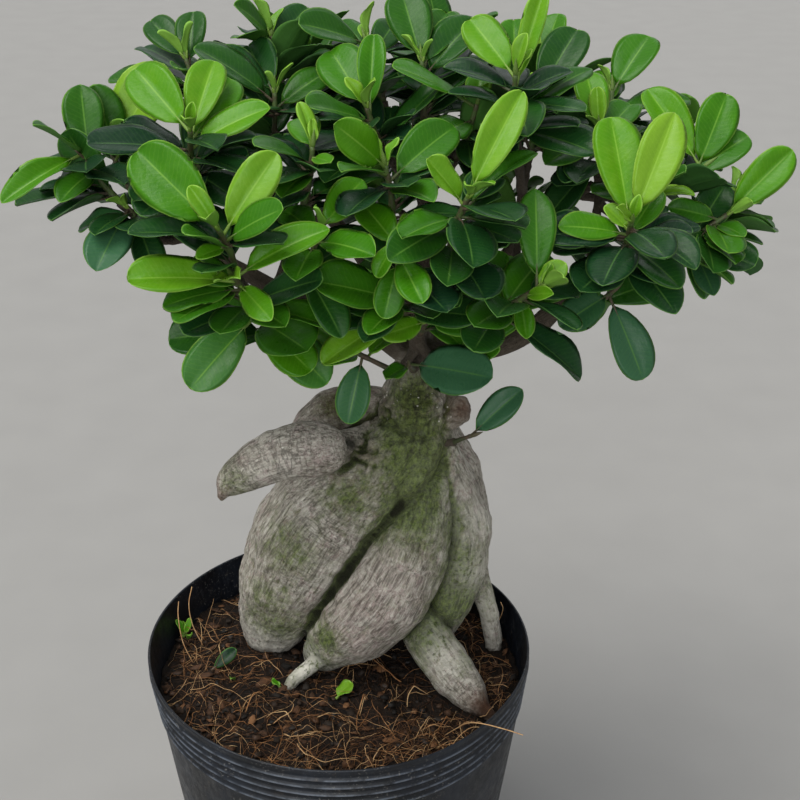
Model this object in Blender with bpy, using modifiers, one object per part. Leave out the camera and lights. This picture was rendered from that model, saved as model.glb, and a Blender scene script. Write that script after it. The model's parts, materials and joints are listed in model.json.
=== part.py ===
"""Ginseng ficus: a swollen rootstock with a wide leafy crown, in a soft nursery pot.

Blender 4.5, metres, +Z up. The origin is the middle of the pot's underside. The sizes
below are in millimetres and degrees. Azimuth 0 points along +X and 90 along +Y, which is
away from the front, and rise is the angle above level.
"""
import math
import random
from collections import namedtuple

import bmesh
import bpy
from mathutils import Matrix, Quaternion, Vector, noise
from mathutils.bvhtree import BVHTree

MM = 0.001
SEED = 7
MERGE = 0.00005
UP = Vector((0, 0, 1))

# Pot
POT_RIM_R = 110.0
POT_BASE_R = 86.0
POT_HEIGHT = 185.0
POT_WALL = 1.2
POT_FLOOR = 2.0
POT_SIDES = 28
RIB_COUNT = 5
RIB_TOP_Z = 178.0
RIB_PITCH = 5.5
RIB_PROUD = 0.9
RIM_TILT = 2.5
DENT = 2.2
DENT_AZIMUTH = -36.0
DENT_SPREAD = 22.0
DRAIN_HOLES = 5
DRAIN_HOLE_R = 4.5
DRAIN_CIRCLE_R = 60.0
DRAIN_TURN = 0.37

# Soil
SOIL_EDGE_Z = 161.0
SOIL_MOUND = 2.0
SOIL_LUMP = 3.0
SOIL_LUMP_SPANS = (24.0, 11.0)
SOIL_RINGS = 3
FIT_GAP = 0.4

# Swollen roots: each is a chain of points (x, y, z, radius)
ROOTS = {
    "left lobe": ((37, 16, 312, 15), (29, 9, 302, 19), (17, 12, 286, 26), (0, 23, 264, 35),
                  (-15, 25, 238, 37), (-28, 26, 211, 32), (-38, 30, 187, 24), (-45, 34, 165, 16),
                  (-50, 38, 142, 9), (-52, 42, 122, 4)),
    "front lobe": ((50, 16, 288, 13), (47, 4, 268, 18), (39, -4, 246, 23), (27, -5, 222, 26),
                   (12, -2, 201, 24), (-2, 4, 184, 18), (-11, 10, 168, 12), (-15, 18, 142, 5)),
    "right lobe": ((52, 24, 310, 12), (57, 23, 292, 13), (62, 21, 271, 19), (66, 19, 249, 21.5),
                   (65, 17, 228, 21), (61, 16, 207, 18), (56, 18, 187, 14), (52, 23, 166, 9),
                   (50, 28, 146, 5)),
    "core": ((42, 36, 296, 26), (36, 42, 268, 32), (32, 44, 238, 34), (28, 44, 208, 30)),
    "leg": ((38, 14, 205, 13), (47, 1, 193, 13.5), (55, -9, 184, 13.5), (64, -19, 176, 13),
            (72, -26, 169, 11), (76, -30, 166, 9), (80, -34, 163, 5.5), (85, -37, 161, 3.5),
            (89, -39, 153, 3)),
    "toe": ((4, 6, 184, 10), (-9, -2, 176, 6), (-19, -8, 170, 4.5), (-27, -13, 166, 4),
            (-32, -16, 158, 3.5), (-36, -18, 147, 3)),
    "thin right root": ((74, 34, 224, 11), (82, 28, 204, 7), (88, 25, 185, 6), (91, 26, 166, 5.5),
                        (92, 28, 146, 3.5)),
    "back left lobe": ((36, 44, 300, 22), (20, 54, 272, 27), (0, 60, 240, 27), (-14, 64, 206, 22),
                       (-21, 67, 176, 14), (-24, 69, 148, 6)),
    "back right lobe": ((50, 44, 296, 18), (60, 54, 270, 21), (64, 62, 236, 24), (60, 69, 202, 19),
                        (56, 74, 172, 12), (54, 76, 144, 5)),
    "arm": ((-7, -13, 317, 14.5), (-17, -16, 319, 15), (-29, -18, 317, 14),
            (-40, -20, 312, 12.5), (-49, -21, 307, 10), (-53, -22, 304, 8.5)),
    "arm root": ((26, 20, 306, 12), (12, 10, 308, 10), (-2, -4, 313, 10)),
    "shoulder": ((26, 38, 314, 13), (11, 38, 316, 14), (-3, 37, 314, 13.5), (-14, 37, 306, 11.5),
                 (-22, 38, 298, 8)),
    "neck": ((42, 26, 292, 23), (43, 22, 312, 20.5), (44, 20, 330, 19.5), (44, 18, 345, 15),
             (44, 16, 358, 11), (44, 15, 370, 8)),
    "cut stub": ((54, 20, 320, 10), (61, 17, 324, 9), (65, 15, 326, 8)),
}
ROOT_VOXEL = 2.5
ROOT_STEP = 3.0
ROOT_SMOOTH = 2
ROOT_KEEP = 0.024

# Main branches: chains of points (x, y, z, radius)
BRANCHES = {
    "right": ((45, 15, 358, 8), (63, -2, 368, 6.5), (83, -18, 379, 6), (104, -20, 392, 5.5),
              (126, -18, 417, 4.5), (155, -8, 432, 3.5)),
    "left": ((45, 16, 356, 8), (20, 8, 376, 6), (-15, -5, 398, 5), (-48, -12, 420, 4),
             (-76, -12, 440, 3.2)),
    "front left": ((-13, -4, 397, 4), (-22, -34, 408, 3.6), (-25, -58, 424, 3)),
    "front": ((45, 14, 360, 7), (44, -14, 376, 5), (42, -34, 398, 4), (38, -50, 420, 3)),
    "middle": ((45, 15, 360, 8), (46, 18, 392, 6), (48, 15, 430, 5), (48, 8, 462, 4)),
    "back left": ((44, 18, 360, 7), (25, 45, 386, 5), (0, 68, 414, 4), (-30, 82, 436, 3)),
    "back": ((47, 18, 360, 7), (50, 55, 388, 5), (48, 88, 418, 4), (42, 108, 440, 3)),
    "back right": ((48, 17, 360, 7), (78, 42, 388, 5), (110, 60, 418, 4), (138, 68, 436, 3)),
    "thin upright": ((90, -19, 383, 4), (93, -6, 402, 3), (94, 12, 430, 2.8), (96, 14, 456, 2.6)),
    "right upright": ((124, -18, 415, 4), (130, -6, 436, 3), (134, 10, 458, 2.6)),
    "left upright": ((-13, -4, 397, 4), (-26, 10, 428, 3.4), (-32, 16, 462, 2.8)),
}
BRANCH_STEPS = 1

# Shoots
TWIG_LENGTH = 30.0
TWIG_MIN = 12.0
TWIG_R = 1.9
TWIG_TIP_R = 1.1
STUB_R = 2.1
STUB_MIN = 9.0
STUB_ROOT_R = 2.9
STUB_KNEE = 0.4
TWIG_SWAY = 0.04
END_GAP = 0.35
SHOOT_LIFT = 0.5

# Leaves
LEAF_LENGTH = 45.0
LEAF_RATIO = 0.58
LEAF_THICK = 0.8
PETIOLE_SHARE = 0.15
PETIOLE_HALF = 0.9
LEAF_BEND = (12, 30)
LEAF_FOLD = (8, 18)
RATIO_SPREAD = (0.86, 1.12)
EGG_PEAK = 0.41
BLADE_MIDDLE = 0.62
BLADE_RIM = ((0.46, -1), (0.84, -1), (0.995, 0), (0.84, 1), (0.46, 1))
GOLDEN_ANGLE = 137.5
SPIN_JITTER = 15.0
OPEN_AT_FOOT = 78.0
OPEN_AT_TIP = 30.0
OPEN_JITTER = 8.0
SIZE_AT_FOOT = 1.05
SIZE_AT_TIP = 0.85
SIZE_SPREAD = (0.9, 1.08)
FIRST_LEAF = 0.12
SEEN_LEAF_STEP = 0.22
FREE_SPACE = 0.9
FREE_TRIES = 26
TURN_PER_TRY = 4.0
SHRINK_PER_TRY = 0.012

Leaf = namedtuple("Leaf", "base aim normal length width bend fold")
Shoot = namedtuple("Shoot", "name tip count leaves")
Twig = namedtuple("Twig", "start middle tip stub")

# Each shoot: name, its tip (x, y, z), how many leaves it has, and the leaves that show at
# the front, as (azimuth, rise, length, roll). The other leaves follow a rule.
SHOOTS = (
    Shoot("low_front", (39, -43, 381), 2,
          ((-10, -8, 54, 50), (-125, 0, 20, -15))),
    Shoot("left_tip", (-117, -10, 477), 6,
          ((-140, -20, 46, -30), (-135, 40, 34, -10), (105, 60, 40, -5), (-115, -10, 30, -15))),
    Shoot("left_middle", (-108, 15, 469), 6,
          ((25, 55, 52, 50), (-105, 55, 38, -15), (120, 80, 44, 0), (-45, 35, 36, 50))),
    Shoot("left_low", (-94, -25, 454), 5,
          ((-105, -25, 42, -15), (170, -20, 30, -20), (-60, -45, 34, 15))),
    Shoot("upper_left", (-56, -60, 500), 6,
          ((135, 30, 44, -40), (75, 40, 42, 15), (65, 30, 42, 25), (10, 25, 40, 30),
           (-110, -5, 38, -15))),
    Shoot("top_left_outer", (-72, 40, 510), 6,
          ((130, 25, 36, -25), (85, 35, 34, 0), (55, 5, 34, 20), (-105, 20, 30, -10),
           (-180, 5, 44, -5))),
    Shoot("top_left_inner", (-26, 15, 499), 6,
          ((115, 25, 40, -25), (-180, 35, 46, -20), (35, 25, 34, 25), (175, 55, 44, -30))),
    Shoot("crown_top_left", (-31, 60, 517), 5,
          ((-130, 40, 32, -55), (-95, 45, 36, -5), (55, 30, 36, 25))),
    Shoot("centre_left_back", (19, -15, 499), 5,
          ((120, 30, 42, -25), (85, 45, 42, 0), (-140, 20, 40, -25))),
    Shoot("crown_top_middle", (18, 40, 518), 5,
          ((-145, 20, 42, -40), (120, 15, 34, -10), (65, 25, 32, 20))),
    Shoot("crown_top_right", (45, 15, 514), 5,
          ((110, 45, 40, -15), (70, 30, 42, 15), (40, 35, 42, 25))),
    Shoot("back_bright", (87, -20, 515), 5,
          ((130, 35, 38, -35), (90, 45, 38, 0), (55, 55, 50, 20))),
    Shoot("back_dark", (101, 20, 496), 5,
          ((50, 40, 44, 25), (55, 15, 38, 15), (120, 15, 36, -10))),
    Shoot("back_right", (141, 40, 494), 6,
          ((45, 40, 38, 15), (140, 30, 38, -20), (95, 25, 30, -5), (15, 5, 44, 15))),
    Shoot("centre_left", (-4, -50, 490), 5,
          ((100, 35, 30, -10), (-55, 5, 16, 20), (-130, 25, 38, -20), (-110, -5, 32, -10))),
    Shoot("centre", (28, -55, 483), 5,
          ((-135, 40, 40, -85), (-115, 25, 38, -5), (40, 25, 44, 35), (-55, 5, 34, 15))),
    Shoot("centre_ridge", (71, -5, 498), 5,
          ((-175, 20, 46, -5), (75, 45, 24, 5), (-120, 0, 36, -15))),
    Shoot("tall_leaf", (64, -75, 475), 6,
          ((45, 50, 54, 35), (-175, 40, 28, -50), (35, 25, 46, 0), (-145, 10, 42, -10),
           (-135, -10, 44, -30))),
    Shoot("front_curl", (34, -88, 462), 6,
          ((-105, -10, 24, -10), (65, 15, 20, 15), (125, 25, 30, -20), (-60, 5, 34, 20),
           (-125, 0, 32, -15))),
    Shoot("centre_left_front", (0, -80, 462), 5,
          ((55, 25, 36, 30), (125, 10, 28, -20), (-45, 5, 38, 25), (-100, -5, 34, -5))),
    Shoot("left_front", (-41, -100, 469), 6,
          ((150, 35, 50, -50), (30, 50, 42, 50), (-15, 35, 38, 40), (-140, -5, 16, -30),
           (-120, 30, 34, -15))),
    Shoot("left_front_low", (-36, -100, 448), 6,
          ((10, 25, 46, 35), (-170, 5, 46, -30), (-55, -15, 28, 35), (150, 25, 26, -35))),
    Shoot("low_left", (-34, -60, 412), 6,
          ((-140, -35, 44, -35), (150, 5, 32, -20), (-35, -30, 36, 40), (15, 25, 22, 45),
           (-20, -40, 42, 40))),
    Shoot("front_middle", (35, -75, 428), 5,
          ((130, 10, 32, -35), (-160, 20, 44, -40), (55, 20, 28, 20))),
    Shoot("front_low", (47, -66, 413), 5,
          ((-150, -5, 24, -45), (20, 45, 36, 50), (-25, 15, 32, 55), (5, 40, 22, 45))),
    Shoot("low_middle", (12, -48, 390), 4,
          ((135, 10, 28, -30), (-125, 5, 30, -20), (-115, -60, 34, -20), (60, 5, 24, 10))),
    Shoot("low_right", (69, -55, 394), 4,
          ((15, 45, 38, 50), (125, 15, 28, -20), (-40, 55, 26, 60))),
    Shoot("neck_sprout", (73, 3, 317), 1,
          ((12, 42, 38, 50),)),
    Shoot("right_front", (96, -82, 436), 5,
          ((90, 55, 46, 0), (10, 40, 20, 50), (-50, 20, 18, 55), (-85, -30, 22, 0))),
    Shoot("right_low", (136, -35, 415), 5,
          ((-150, -20, 32, -50), (-50, -55, 44, 25), (100, 5, 34, -5))),
    Shoot("pale_leaf", (137, -65, 460), 6,
          ((50, 55, 54, 35), (105, 55, 52, -10), (155, 40, 16, -35), (-170, 10, 34, -40),
           (45, 40, 28, 25))),
    Shoot("right_back", (130, 0, 484), 5,
          ((100, 40, 36, -5), (-140, -10, 38, -20), (55, 20, 34, 15))),
    Shoot("right_inner", (156, -10, 455), 5,
          ((60, 40, 34, 15), (-50, 40, 28, 20), (-150, 15, 34, -15))),
    Shoot("right_high", (184, 8, 464), 6,
          ((130, 40, 50, -30), (50, 55, 42, 35), (20, 50, 38, 25), (120, 70, 44, -20))),
    Shoot("right_tip", (195, -5, 444), 5,
          ((30, 50, 46, 45), (-175, 15, 28, -50), (-60, 0, 22, 20), (-130, -25, 30, -25))),
    Shoot("right_far", (205, 35, 440), 5,
          ((15, 30, 36, 45), (-135, 40, 26, -55), (-60, 20, 30, 10))),
    Shoot("right_under", (185, 5, 426), 5,
          ((-45, -5, 34, 30), (-70, -35, 30, 15), (-140, -20, 34, -30), (-145, 25, 24, -35))),
    Shoot("rear_left_low", (-88, 78, 452), 5, ()),
    Shoot("rear_left", (-56, 104, 474), 5, ()),
    Shoot("rear_left_inner", (-14, 88, 502), 6, ()),
    Shoot("rear_middle_left", (-8, 126, 474), 5, ()),
    Shoot("rear_middle", (42, 138, 474), 6, ()),
    Shoot("rear_middle_top", (56, 84, 506), 5, ()),
    Shoot("rear_middle_right", (90, 122, 472), 6, ()),
    Shoot("rear_right_inner", (106, 76, 498), 6, ()),
    Shoot("rear_right", (136, 104, 466), 5, ()),
    Shoot("rear_right_low", (176, 76, 454), 5, ()),
    Shoot("rear_under_left", (-46, 84, 424), 5, ()),
    Shoot("rear_under", (20, 112, 424), 5, ()),
    Shoot("rear_under_right", (92, 96, 426), 5, ()),
)

# Colours, roughness
POT_FINISH = ((0.022, 0.026, 0.036), 0.42)
SOIL_FINISH = ((0.045, 0.026, 0.016), 0.95)
BARK_FINISH = ((0.30, 0.26, 0.20), 0.80)
BRIGHT_LEAF_FINISH = ((0.13, 0.36, 0.035), 0.32)
DARK_LEAF_FINISH = ((0.022, 0.13, 0.028), 0.30)
BRIGHT_SHOOTS = ("left_tip", "left_middle", "upper_left", "crown_top_left", "centre_left_back",
                 "back_bright", "centre", "tall_leaf", "front_curl", "left_front",
                 "left_front_low", "right_front", "pale_leaf", "right_high", "right_tip")


def clear_scene():
    for obj in list(bpy.data.objects):
        bpy.data.objects.remove(obj, do_unlink=True)


def new_collection(name):
    collection = bpy.data.collections.new(name)
    bpy.context.scene.collection.children.link(collection)
    return collection


def new_material(name, finish):
    colour, roughness = finish
    material = bpy.data.materials.new(name)
    material.use_nodes = True
    shader = material.node_tree.nodes["Principled BSDF"]
    shader.inputs["Base Color"].default_value = (*colour, 1.0)
    shader.inputs["Roughness"].default_value = roughness
    shader.inputs["Metallic"].default_value = 0.0
    return material


def object_from_bmesh(name, bm, collection):
    mesh = bpy.data.meshes.new(name)
    bm.to_mesh(mesh)
    bm.free()
    obj = bpy.data.objects.new(name, mesh)
    collection.objects.link(obj)
    return obj


def evaluated_mesh(obj):
    bpy.context.view_layer.update()
    depsgraph = bpy.context.evaluated_depsgraph_get()
    return bpy.data.meshes.new_from_object(obj.evaluated_get(depsgraph))


def apply_modifiers(obj):
    mesh = evaluated_mesh(obj)
    obj.modifiers.clear()
    obj.data = mesh


def hide_as_cutter(obj):
    obj.hide_render = True
    obj.display_type = "WIRE"


def boolean(obj, operation, other=None, group=None):
    modifier = obj.modifiers.new(operation.title(), "BOOLEAN")
    modifier.operation = operation
    modifier.solver = "EXACT"
    if group is None:
        modifier.object = other
    else:
        modifier.operand_type = "COLLECTION"
        modifier.collection = group
    apply_modifiers(obj)


def join_group(obj, group):
    """Fuses a collection's objects to obj, then removes them and the collection."""
    boolean(obj, "UNION", group=group)
    for piece in list(group.objects):
        bpy.data.objects.remove(piece, do_unlink=True)
    bpy.data.collections.remove(group)


def smooth_route(points, steps):
    """Points on a Catmull-Rom curve through (x, y, z, radius) points."""
    knots = [Vector(p) for p in points]
    knots = [2 * knots[0] - knots[1]] + knots + [2 * knots[-1] - knots[-2]]
    route = []
    for a, b, c, d in zip(knots, knots[1:], knots[2:], knots[3:]):
        for i in range(steps):
            t = i / steps
            route.append(0.5 * (2 * b + (c - a) * t + (2 * a - 5 * b + 4 * c - d) * t ** 2
                                + (3 * b - a - 3 * c + d) * t ** 3))
    route.append(knots[-2])
    return route


def tube(name, route, collection, resolution):
    """A closed tube through (x, y, z, radius) points, with 4 + 2 * resolution sides."""
    curve = bpy.data.curves.new(name, "CURVE")
    curve.dimensions = "3D"
    curve.bevel_depth = MM
    curve.bevel_resolution = resolution
    curve.use_fill_caps = True
    spline = curve.splines.new("POLY")
    spline.points.add(len(route) - 1)
    for point, (x, y, z, radius) in zip(spline.points, route):
        point.co = (x * MM, y * MM, z * MM, 1.0)
        point.radius = radius
    source = bpy.data.objects.new(name, curve)
    collection.objects.link(source)
    mesh = evaluated_mesh(source)
    bm = bmesh.new()
    bm.from_mesh(mesh)
    bmesh.ops.remove_doubles(bm, verts=bm.verts, dist=MERGE)
    bmesh.ops.recalc_face_normals(bm, faces=bm.faces)
    bpy.data.objects.remove(source, do_unlink=True)
    return object_from_bmesh(name, bm, collection)


def warp(point):
    """The soft pot's lean and dent, for a point in mm; both grow evenly from the base."""
    share = point.z / POT_HEIGHT
    reach = math.hypot(point.x, point.y)
    azimuth = math.degrees(math.atan2(point.y, point.x))
    push = DENT * math.exp(-((azimuth - DENT_AZIMUTH) / DENT_SPREAD) ** 2) * share
    scale = 1.0 if reach < 1.0 else (reach - push * reach / POT_RIM_R) / reach
    tilt = -RIM_TILT * share * point.x / POT_RIM_R
    return Vector((point.x * scale, point.y * scale, point.z + tilt))


def pot_outer_r(z):
    return POT_BASE_R + (POT_RIM_R - POT_BASE_R) * z / POT_HEIGHT


def turned(name, profile, collection):
    """A solid of revolution from (radius, z) points that end on the axis."""
    bm = bmesh.new()
    verts = [bm.verts.new((r * MM, 0, z * MM)) for r, z in profile]
    for a, b in zip(verts, verts[1:]):
        bm.edges.new((a, b))
    obj = object_from_bmesh(name, bm, collection)
    screw = obj.modifiers.new("Turn", "SCREW")
    screw.axis = "Z"
    screw.angle = math.tau
    screw.steps = POT_SIDES
    screw.render_steps = POT_SIDES
    screw.use_merge_vertices = True
    screw.merge_threshold = MERGE
    apply_modifiers(obj)
    return obj


def reshape(obj, move):
    """Moves every point of an object's mesh by a function that works in mm."""
    for vertex in obj.data.vertices:
        vertex.co = move(vertex.co / MM) * MM


def make_pot(parts, cutters):
    inner_base_r = pot_outer_r(POT_FLOOR) - POT_WALL
    profile = [(0, POT_FLOOR), (inner_base_r, POT_FLOOR), (POT_RIM_R - POT_WALL, POT_HEIGHT),
               (POT_RIM_R, POT_HEIGHT)]
    for i in range(RIB_COUNT):
        crest = RIB_TOP_Z - i * RIB_PITCH
        valley = crest + RIB_PITCH / 2
        profile.append((pot_outer_r(valley), valley))
        profile.append((pot_outer_r(crest) + RIB_PROUD, crest))
    foot = RIB_TOP_Z - (RIB_COUNT - 0.5) * RIB_PITCH
    profile += [(pot_outer_r(foot), foot), (pot_outer_r(POT_FLOOR), POT_FLOOR),
                (POT_BASE_R - POT_FLOOR, 0), (0, 0)]
    pot = turned("pot", profile, parts)
    for i in range(DRAIN_HOLES):
        angle = math.tau * (i + DRAIN_TURN) / DRAIN_HOLES
        bpy.ops.mesh.primitive_cylinder_add(
            vertices=8, radius=DRAIN_HOLE_R * MM, depth=4 * POT_FLOOR * MM,
            location=(DRAIN_CIRCLE_R * MM * math.cos(angle),
                      DRAIN_CIRCLE_R * MM * math.sin(angle), 0))
        hole = bpy.context.object
        hole.name = "drain_hole_cutter"
        for owner in list(hole.users_collection):
            owner.objects.unlink(hole)
        cutters.objects.link(hole)
        boolean(pot, "DIFFERENCE", other=hole)
        hide_as_cutter(hole)
    reshape(pot, warp)
    pot.data.shade_smooth()
    pot.data.set_sharp_from_angle(angle=math.radians(30))
    return pot


def soil_height(x, y):
    reach = math.hypot(x, y) / POT_RIM_R
    wide, fine = SOIL_LUMP_SPANS
    lumps = noise.noise(Vector((x, y, 0)) / wide) + 0.5 * noise.noise(Vector((x, y, 9)) / fine)
    return SOIL_EDGE_Z + SOIL_MOUND * (1 - reach ** 2) + SOIL_LUMP * lumps


def make_soil(parts, root_cutter):
    floor = POT_FLOOR + FIT_GAP
    side_gap = POT_WALL + FIT_GAP
    edge_r = pot_outer_r(SOIL_EDGE_Z) - side_gap
    profile = [(edge_r * i / SOIL_RINGS, SOIL_EDGE_Z) for i in range(SOIL_RINGS + 1)]
    profile += [(pot_outer_r(floor) - side_gap, floor), (0, floor)]
    soil = turned("soil", profile, parts)

    def settle(point):
        reach = math.hypot(point.x, point.y)
        if point.z > SOIL_EDGE_Z - 1 and reach < edge_r - 1:
            point.z = soil_height(point.x, point.y)
        return warp(point)

    reshape(soil, settle)
    boolean(soil, "DIFFERENCE", other=root_cutter)
    return soil


def make_root_body(collection):
    """Balls strung along every root, grown together into one skin."""
    bm = bmesh.new()
    for route in ROOTS.values():
        for start, end in zip(route, route[1:]):
            a, b = Vector(start), Vector(end)
            count = max(2, math.ceil((b - a).xyz.length / ROOT_STEP))
            for i in range(count + 1):
                ball = a.lerp(b, i / count)
                bmesh.ops.create_icosphere(bm, subdivisions=3, radius=ball.w * MM,
                                           matrix=Matrix.Translation(ball.xyz * MM))
    body = object_from_bmesh("rootstock", bm, collection)
    remesh = body.modifiers.new("Grow together", "REMESH")
    remesh.mode = "VOXEL"
    remesh.voxel_size = ROOT_VOXEL * MM
    soften = body.modifiers.new("Soften", "SMOOTH")
    soften.factor = 0.5
    soften.iterations = ROOT_SMOOTH
    thin_out = body.modifiers.new("Fewer faces", "DECIMATE")
    thin_out.ratio = ROOT_KEEP
    apply_modifiers(body)
    return body


def make_root_cutter(body, cutters):
    """The hole that the roots leave in the soil: a copy of them, grown by the fit gap."""
    cutter = bpy.data.objects.new("root_cutter", body.data.copy())
    cutters.objects.link(cutter)
    bm = bmesh.new()
    bm.from_mesh(cutter.data)
    bm.normal_update()
    grown = [v.co + v.normal * FIT_GAP * MM for v in bm.verts]
    for vertex, place in zip(bm.verts, grown):
        vertex.co = place
    bm.to_mesh(cutter.data)
    bm.free()
    hide_as_cutter(cutter)
    return cutter


def direction(azimuth, rise):
    a, r = math.radians(azimuth), math.radians(rise)
    return Vector((math.cos(r) * math.cos(a), math.cos(r) * math.sin(a), math.sin(r)))


def across(vector, axis):
    """The part of a vector that is square to an axis, as a unit vector."""
    return (vector - axis * vector.dot(axis)).normalized()


def branch_points():
    points = [p for route in BRANCHES.values() for p in smooth_route(route, 4)[:-1]]
    return points + [Vector(p) for p in ROOTS["neck"][1:] + ROOTS["cut stub"][1:]]


def plan_twigs():
    """Each shoot's twig, and the stub that carries it on the nearest branch."""
    sources = branch_points()
    rng = random.Random(SEED)
    twigs = {}
    for shoot in SHOOTS:
        tip = Vector(shoot.tip)
        below = [p for p in sources if p.z < tip.z - 4]
        root = min(below, key=lambda p: (p.xyz - tip).length)
        reach = (tip - root.xyz).length
        heading = ((tip - root.xyz).normalized() + SHOOT_LIFT * UP).normalized()
        length = max(TWIG_MIN, min(TWIG_LENGTH, reach - root.w - STUB_MIN))
        start = tip - heading * length
        sway = across(Vector([rng.uniform(-1, 1) for _ in range(3)]), heading)
        middle = start + heading * length * 0.5 + sway * TWIG_SWAY * length
        first = (middle - start).normalized()
        end = start - first * END_GAP
        knee = end - first * STUB_KNEE * (end - root.xyz).length
        stub = ((*root.xyz, min(root.w, STUB_ROOT_R)), (*knee, STUB_R), (*end, STUB_R))
        twigs[shoot.name] = Twig(start, middle, tip, stub)
    return twigs


def twig_route(twig):
    return ((*twig.start, TWIG_R), (*twig.middle, (TWIG_R + TWIG_TIP_R) / 2),
            (*twig.tip, TWIG_TIP_R))


def half_width(leaf, along):
    """Half the blade's width: a narrow stalk, then an egg shape, broadest past the middle."""
    if along <= PETIOLE_SHARE:
        return PETIOLE_HALF
    u = (along - PETIOLE_SHARE) / (1 - PETIOLE_SHARE)
    egg = u ** 0.85 * (1 - u) ** 0.5 / EGG_PEAK
    return max(PETIOLE_HALF, 0.5 * leaf.width * egg)


def leaf_point(leaf, along, side, offset=0.0):
    """A point of a blade: along is 0 to 1, side is -1 to 1, offset is above its face."""
    lean = leaf.bend * (0.5 - along)
    half = leaf.bend / 2
    forward = leaf.length * (math.sin(half) - math.sin(lean)) / leaf.bend
    lift = leaf.length * (math.cos(lean) - math.cos(half)) / leaf.bend
    face = leaf.normal * math.cos(lean) - leaf.aim * math.sin(lean)
    out = leaf.aim.cross(leaf.normal) * side * half_width(leaf, along)
    point = leaf.base + leaf.aim * forward + leaf.normal * lift + face * offset
    return point + out * math.cos(leaf.fold) + face * out.length * math.sin(leaf.fold)


def leaf_probe(leaf, first, gap):
    """Two sheets just above and below a blade, to test what it would touch."""
    rows = [first + (0.99 - first) * i / 5 for i in range(6)]
    points, faces = [], []
    for offset in (-gap, gap):
        start = len(points)
        points += [leaf_point(leaf, row, side, offset) for row in rows for side in (-1, 0, 1)]
        for i in range(5):
            for j in range(2):
                k = start + 3 * i + j
                faces.append((k, k + 1, k + 4, k + 3))
    return BVHTree.FromPolygons(points, faces)


def tube_probe(route, gap):
    points, faces = [], []
    route = [Vector(p) for p in route]
    for i, p in enumerate(route):
        axis = (route[min(i + 1, len(route) - 1)] - route[max(i - 1, 0)]).xyz.normalized()
        side = across(Vector((0.3, 0.2, 1)) if abs(axis.z) < 0.8 else Vector((1, 0.2, 0)), axis)
        other = axis.cross(side)
        for k in range(6):
            turn = math.tau * k / 6
            spoke = side * math.cos(turn) + other * math.sin(turn)
            points.append(p.xyz + spoke * (p.w + gap))
    for i in range(len(route) - 1):
        for k in range(6):
            a, b = 6 * i + k, 6 * i + (k + 1) % 6
            faces.append((a, b, b + 6, a + 6))
    return BVHTree.FromPolygons(points, faces)


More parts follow.
